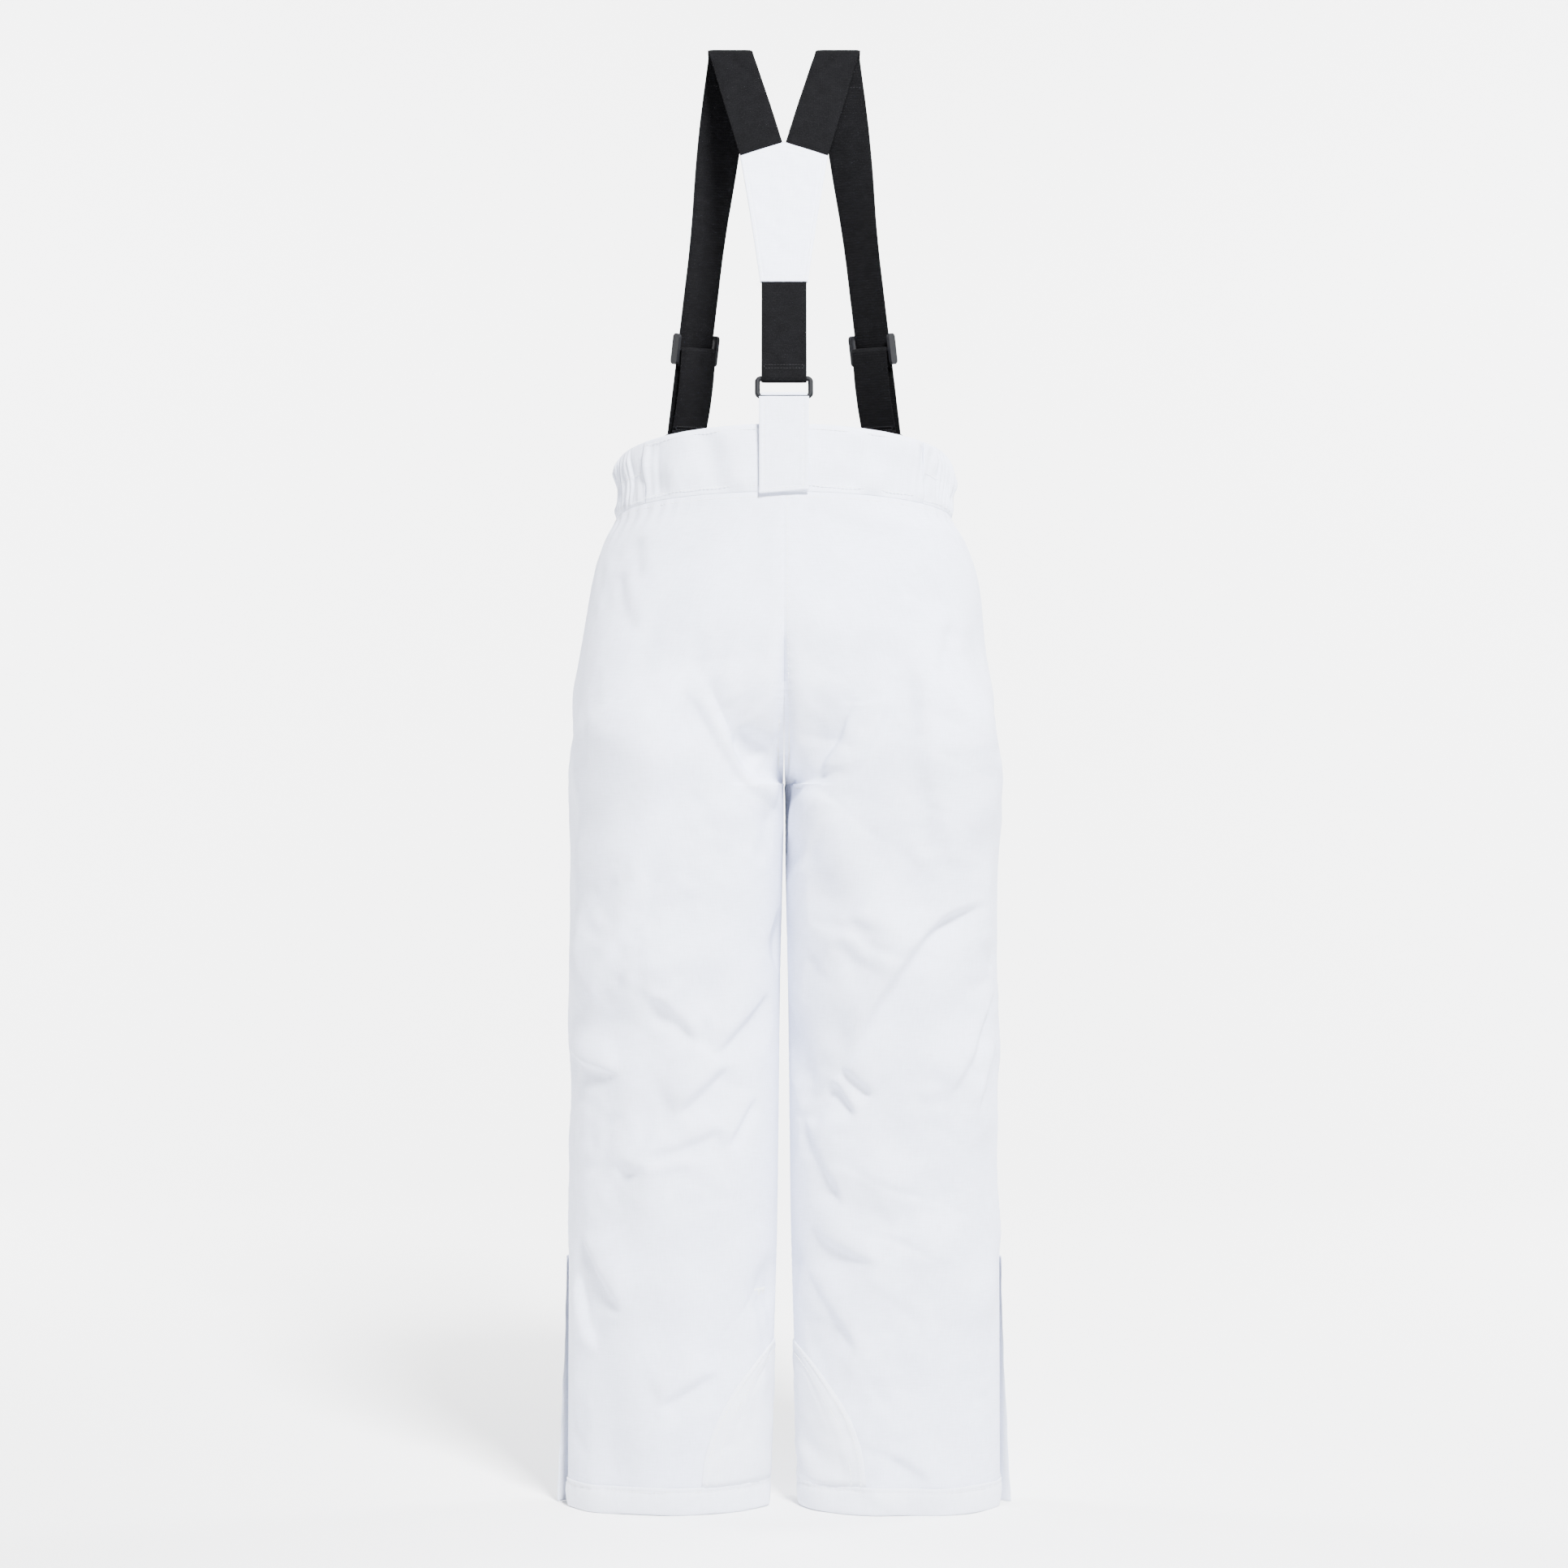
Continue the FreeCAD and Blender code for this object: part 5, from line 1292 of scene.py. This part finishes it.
def arc(centre, first, second, radius, start, stop, count):
    turns = np.radians(np.linspace(start, stop, count))
    return [centre + first * (radius * math.cos(a)) + second * (radius * math.sin(a)) for a in turns]


ring_middle = np.array([0, back_y(RING_Z), RING_Z])
bar = ring_middle + BACK_UP * BAR_Z
route = [bar + BACK_OUT * LOOP + BACK_UP * d for d in (104, 75, 45, 20, 8, 3)]
route += arc(bar, BACK_OUT, BACK_UP, LOOP, 0, -180, 9)
route += [bar - BACK_OUT * LOOP + BACK_UP * 4, bar - BACK_OUT * (LOOP - 1.2) + BACK_UP * 10,
          bar - BACK_OUT * (LOOP - 3.2) + BACK_UP * 17]
piece, _, _ = ribbon("centre_elastic", route, [ACROSS] * len(route), WEBBING, WEBBING_THICK, WEB, "pants")
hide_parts("back_elastic")


def bar_tack(name, centre, across, along, out, wide, tall, material=None):
    """A sewn box with a cross, through layers of webbing."""
    def line(a, b):
        pts = np.array([centre + across * x + along * y for x, y in (a, b)])
        pts = pts[0] + (pts[1] - pts[0]) * np.linspace(0, 1, 12)[:, None]
        return pts, np.broadcast_to(out, pts.shape).copy()
    w, h = wide / 2, tall / 2
    lines = [line((-w, -h), (w, -h)), line((w, -h), (w, h)), line((w, h), (-w, h)), line((-w, h), (-w, -h))]
    if tall > 6:
        lines += [line((-w, -h), (w, h)), line((w, -h), (-w, h))]
    sew(name, lines, pitch=2.6, length=2.1, radius=0.28, material=material or DARK_THREAD, sink=0.0)


bar_tack("centre_elastic_stitches", bar + BACK_OUT * (LOOP + 0.75) + BACK_UP * 9.5, ACROSS, BACK_UP, BACK_OUT,
         33, 3)

# the white tab: an anchor sewn inside the waistband, and a flap that hooks onto the band's outside
bar = ring_middle - BACK_UP * BAR_Z
wide, thick = 42.0, 1.2
loop = 4.4 / 2 + 0.3 + thick / 2
anchor = [np.array([0, -82.6, z]) for z in (-28, -10, 8, 24, 31)]
anchor.append(np.array([0, mix(-82.6, bar[1] + loop, 0.6), 40]))
anchor += arc(bar, np.array([0, 1.0, 0]), UPRIGHT, loop, 0, 165, 9)
piece, _, _ = ribbon("tab_anchor", anchor, [ACROSS] * len(anchor), wide - 3, thick, TRIM, "pants")
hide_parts("back_tab_anchor")
root = np.array([0, bar[1] - loop, bar[2] - 0.4])
flap = [root] + [np.array([0, mix(root[1], -93.1, t), z]) for t, z in
                 ((0.15, 44), (0.7, 32), (1.0, 22), (1.0, 8), (1.0, -10), (1.0, -29.6))]
flap_points, _ = even(catmull(flap, 60), catmull(flap, 60), pitch=1.2)
n = np.cross(unit_rows(np.gradient(flap_points, axis=0)), ACROSS)
n *= np.where(n[:, 1:2] > 0, -1, 1)
u = crowded(49, 1.25)
run = np.arange(len(flap_points)) * 1.2
left = run[-1] - run
slant = 1.6 * u[None] * smooth(left, 26, 0)[:, None]
inset = np.minimum((1 - np.abs(u))[None] * 21, left[:, None])
inset = np.minimum(inset, run[:, None] + 8)
rise = 0.5 * smooth(inset, 0, 1.4) + 0.35 - 0.4 * bump(inset - 4.2, 0.9)
rise = rise + 0.22 * waves(401, 14, 40, 14)(u[None] * 21, run[:, None]) * smooth(inset, 4, 9)
base = flap_points[:, None] + ACROSS * (u * 20.8)[None, :, None] + UPRIGHT * slant[..., None]
outer = base + n[:, None] * rise[..., None]
inner = base - n[:, None] * 0.45
grain = stacked(u[None] * 21, run[:, None])
piece = slab_mesh("tab_flap", outer, inner, TRIM, grain, body="back_tab")
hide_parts("back_tab_flap")
column = [int(np.argmin(np.abs(u - k))) for k in (-0.8, 0.8)]
last = int(np.argmin(np.abs(left - 4.2)))
rows = np.arange(4, last + 1)
track = [(r, column[0]) for r in rows] + [(last, c) for c in range(column[0] + 1, column[1])]
track += [(r, column[1]) for r in rows[::-1]]
pts = np.array([outer[r, c] for r, c in track])
sew("tab_flap_stitches", [(pts, np.array([n[r] for r, _ in track]))], body="back_tab", sink=0.05)

# keystone patch: two padded layers with the webbing ends between them
start = np.array([0, back_y(0) + BACK_OUT[1] * LOOP, 0])
v, u = np.linspace(0, 1, 70), crowded(61, 1.2)
for layer, word, base in ((1, "outer", 0.95), (-1, "inner", -1.85)):
    width = mix(20.0, 37.2, v)[:, None] - 0.5 * np.sin(v * np.pi)[:, None]
    z = mix(149.3, 260.4 + (1 - np.abs(u))[None] * 12.4, v[:, None])
    place_at = start + BACK_UP * (((z - start[2]) / BACK_UP[2])[..., None]) + ACROSS * (width * u[None])[..., None]
    inset = np.minimum((1 - np.abs(u))[None] * width, np.minimum(v, 1 - v)[:, None] * 112)
    shape = 0.45 * smooth(inset, 0, 1.6) - 0.35 * bump(inset - 3.2, 0.8)
    shape = shape + 0.2 * waves(410 + layer, 12, 40, 16)(width * u[None], z) * smooth(inset, 3, 9)
    over = 0.55 * smooth(z, 244, 262) * bump(np.abs(u)[None] * width - 24, 15)
    top = place_at + BACK_OUT * (base + layer * (0.5 + shape + over))[..., None]
    low = place_at + BACK_OUT * (base - 0.1 * layer)
    grain = np.stack([width * u[None], z], -1)
    piece = slab_mesh(f"keystone_{word}", top, low, TRIM, grain)
    if layer == 1:
        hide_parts("keystone_patch")
    c0, c1 = (int(np.argmin(np.abs(u - k))) for k in (-0.9, 0.9))
    r0, r1 = int(np.argmin(np.abs(v - 0.03))), int(np.argmin(np.abs(v - 0.97)))
    track = [(r0, c) for c in range(c0, c1)] + [(r, c1) for r in range(r0, r1)]
    track += [(r1, c) for c in range(c1, c0, -1)] + [(r, c0) for r in range(r1, r0 - 1, -1)]
    pts = np.array([top[r, c] for r, c in track])
    sew(f"keystone_stitches_{word}", [(pts, np.broadcast_to(BACK_OUT * layer, pts.shape).copy())], sink=0.0)

# shoulder straps, their adjusters' return runs, and the front tabs
lean = math.radians(16.5)
SHOULDER_Z, SHOULDER_X, FOLD_RADIUS, SLIDER_Z = 359.0, 46.8, 8.0, 107.0
back_across = unit(ACROSS * math.cos(lean) - BACK_UP * math.sin(lean))


def back_point(z):
    return np.array([SHOULDER_X - (SHOULDER_Z - z) * math.tan(lean), back_y(z), z]) + BACK_OUT * LOOP


# the strap's route: up the back, over the shoulder in a half turn, down to the front ring's bar and round it
hip = np.array([86.0, 66.0, 24.0 + BAR_Z])
front_top = np.array([SHOULDER_X + 0.6, FOLD_RADIUS, SHOULDER_Z - FOLD_RADIUS])
down = unit(hip - front_top)
across = np.array([math.cos(math.radians(40)), -math.sin(math.radians(40)), 0])
across = unit(across - down * (across @ down))
out = unit(np.cross(across, down))
out = out * (1 if out[1] > 0 else -1)
line_end = hip + out * LOOP
shoulder = np.array([SHOULDER_X, 0, SHOULDER_Z - FOLD_RADIUS])
stations = [(back_point(z), back_across) for z in (263.8, 270)]
for z, share in ((284, 0.1), (300, 0.3), (316, 0.54), (330, 0.76), (343, 0.93)):
    point = back_point(z)
    bend = smooth(z, 290, 350)
    point[1] = mix(point[1], -FOLD_RADIUS - (SHOULDER_Z - FOLD_RADIUS - z) * 0.16, bend)
    stations.append((point, unit(back_across * (1 - share) + ACROSS * share)))
for a in (180, 150, 120, 90, 60, 30, 0):
    turn = np.array([0, math.cos(math.radians(a)), math.sin(math.radians(a))]) * (FOLD_RADIUS - 0.65)
    if a > 90:
        turn[0] = (turn[2] - FOLD_RADIUS) * math.tan(lean)
    stations.append((shoulder + turn, ACROSS))
straight = line_end - front_top
for t in (0.12, 0.22, 0.32, 0.42, 0.52, 0.62, 0.75, 0.88, 0.97):
    share = float(smooth(t, 0.05, 0.52))
    stations.append((front_top + straight * t, unit(ACROSS * (1 - share) + across * share)))
stations += [(q, across) for q in arc(hip, out, down, LOOP, 0, 180, 9)]
near = hip - out * LOOP
stations += [(near - down * d, across) for d in (3, 6)]
# the return run: from under the ring up behind the strap, round the adjuster's bar and a little way down
centre = front_top + straight * ((front_top[2] - SLIDER_Z) / (front_top[2] - line_end[2]))
near_bar = -(WEBBING_THICK * 1.5 + 0.55 + 1.2)
wrap = 1.2 + 0.25 + WEBBING_THICK / 2
bar_centre = centre + out * near_bar
first = near - down * 6.4
approach = bar_centre - out * wrap
run_back = [first + (approach - first) * t - out * (2.2 * math.sin(math.pi * t))
            for t in (0.0, 0.15, 0.35, 0.6, 0.8, 0.93)]
run_back += arc(bar_centre, out * -1, down * -1, wrap, 0, 180, 9)
run_back += [bar_centre + out * (wrap - d) + down * z for d, z in ((0.1, 4), (1.0, 9), (2.2, 15))]
# the white tab: round the ring's lower bar, both ends sewn to the waistband
low_bar = hip + down * (2 * BAR_Z)
foot_angle = band_angle(90)
face = place(-18.0, 0.0, True, foot_angle)
normal = unit(place(-18.0, 0.0, True, foot_angle, 1.0) - face)
tangent = np.array([normal[1], -normal[0], 0])
outer_foot = [face + normal * 2.5 + UPRIGHT * d for d in (-12, -2, 8)]
inner_foot = [face + normal * (-2.6 - 3.9) + UPRIGHT * d for d in (-12, 0, 14)]
bend = arc(low_bar, out, down * -1, loop, -10, 190, 9)
tab_route = [(q, tangent) for q in outer_foot] + [(q, across) for q in bend]
tab_route += [(q, tangent) for q in inner_foot[::-1]]
for side, word in SIDES:
    flip = FLIP[side]
    piece, p, a = ribbon(f"strap_{word}", [s[0] * flip for s in stations], [s[1] * flip for s in stations],
                            WEBBING, WEBBING_THICK, WEB, "pants")
    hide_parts(f"shoulder_strap_{word}")
    if side == RIGHT:                                   # one strap is joined from two lengths
        joint = int(np.argmin(np.abs(p[:len(p) // 3, 2] - 329)))
        line = p[joint] + a[joint] * np.linspace(-17, 17, 30)[:, None] + BACK_OUT * 0.75
        sew("strap_joint_stitches", [(line, np.broadcast_to(BACK_OUT, line.shape))], pitch=2.6, length=1.9,
            radius=0.28, material=DARK_THREAD)
    piece, p, _ = ribbon(f"strap_back_run_{word}", [q * flip for q in run_back], [across * flip] * len(run_back),
                            WEBBING, WEBBING_THICK, WEB, None)
    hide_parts(f"strap_return_{word}")
    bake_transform(piece)
    piece, _, _ = ribbon(f"ring_tab_{word}", [q * flip for q, _ in tab_route], [q * flip for _, q in tab_route],
                          WEBBING, 1.2, TRIM, "pants", pitch=1.5)
    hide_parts(f"front_tab_{word}")
    bar_tack(f"strap_foot_stitches_{word}", (near - out * 0.8 - down * 8) * flip, across * flip, down * flip,
             -out * flip, 32, 3)
    bar_tack(f"ring_tab_stitches_{word}", (face + normal * 3.25 - UPRIGHT * 3) * flip, tangent * flip,
             UPRIGHT, normal * flip, 31, 14, material=THREAD)

# ---------------------------------------------------------------- finishes of the hardware kept from the CAD
for name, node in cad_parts.items():
    if node.hide_render:
        continue
    if "slider" in name and "zip" in name or "zip_pull" in name:
        chosen = METAL
    elif "snap" in name:
        chosen = SNAP
    elif "hook" in name:
        chosen = HOOK_BLOCK
    else:
        chosen = PLASTIC
    node.data.materials.clear()
    node.data.materials.append(chosen)
    for polygon in node.data.polygons:
        polygon.use_smooth = True
    node.data.set_sharp_from_angle(angle=math.radians(32))


# ---------------------------------------------------------------- stage, light and camera
def area_light(name, place_at, look_at, size, power, colour=(1, 1, 1)):
    data = bpy.data.lights.new(name, "AREA")
    data.shape, data.size, data.size_y = "RECTANGLE", size[0], size[1]
    data.energy, data.color = power, colour
    lamp = bpy.data.objects.new(name, data)
    bpy.context.scene.collection.objects.link(lamp)
    lamp.location = place_at
    lamp.rotation_euler = (Vector(look_at) - Vector(place_at)).to_track_quat("-Z", "Y").to_euler()


def make_stage():
    floor = HEM * MM - 0.0002
    profile = [(-14.0, floor), (2.4, floor)]
    profile += [(2.4 + 1.6 * math.sin(a), floor + 1.6 * (1 - math.cos(a)))
                for a in np.linspace(0.1, np.pi / 2, 12)]
    profile += [(4.0, 6.0)]
    points = [(x * 1000, y * 1000, z * 1000) for y, z in profile for x in (-12.0, 12.0)]
    faces = np.array([[2 * i, 2 * i + 1, 2 * i + 3, 2 * i + 2] for i in range(len(profile) - 1)])
    material, _, shader = new_material("backdrop")
    shader.inputs["Base Color"].default_value = (0.93, 0.93, 0.93, 1)
    shader.inputs["Roughness"].default_value = 0.9
    make("backdrop_sheet", points, faces, material, body=None)
    world = bpy.data.worlds.new("studio")
    bpy.context.scene.world = world
    world.use_nodes = True
    world.node_tree.nodes["Background"].inputs[0].default_value = (0.92, 0.95, 1.0, 1)
    world.node_tree.nodes["Background"].inputs[1].default_value = 0.2
    area_light("key", (0.75, -2.2, 2.1), (0, 0, -0.5), (0.6, 0.6), 660, (0.99, 0.995, 1.0))
    area_light("fill", (0.0, -3.6, -0.5), (0, 0, -0.5), (1.6, 1.6), 12, (0.93, 0.96, 1.0))
    area_light("top", (0.2, 0.1, 2.4), (0, 0, -0.3), (1.6, 1.2), 20)
    for x in (-2.6, 2.6):
        area_light("backdrop_light", (x, 1.2, 1.2), (x * 0.2, 4.0, 0.0), (1.5, 2.5), 380)


make_stage()
lens = bpy.data.cameras.new("view")
lens.lens, lens.sensor_width = 79.86, 36.0
camera = bpy.data.objects.new("view", lens)
bpy.context.scene.collection.objects.link(camera)
camera.location = (0, -3.0, -0.274)
camera.rotation_euler = (math.pi / 2, 0, 0)
bpy.context.scene.camera = camera
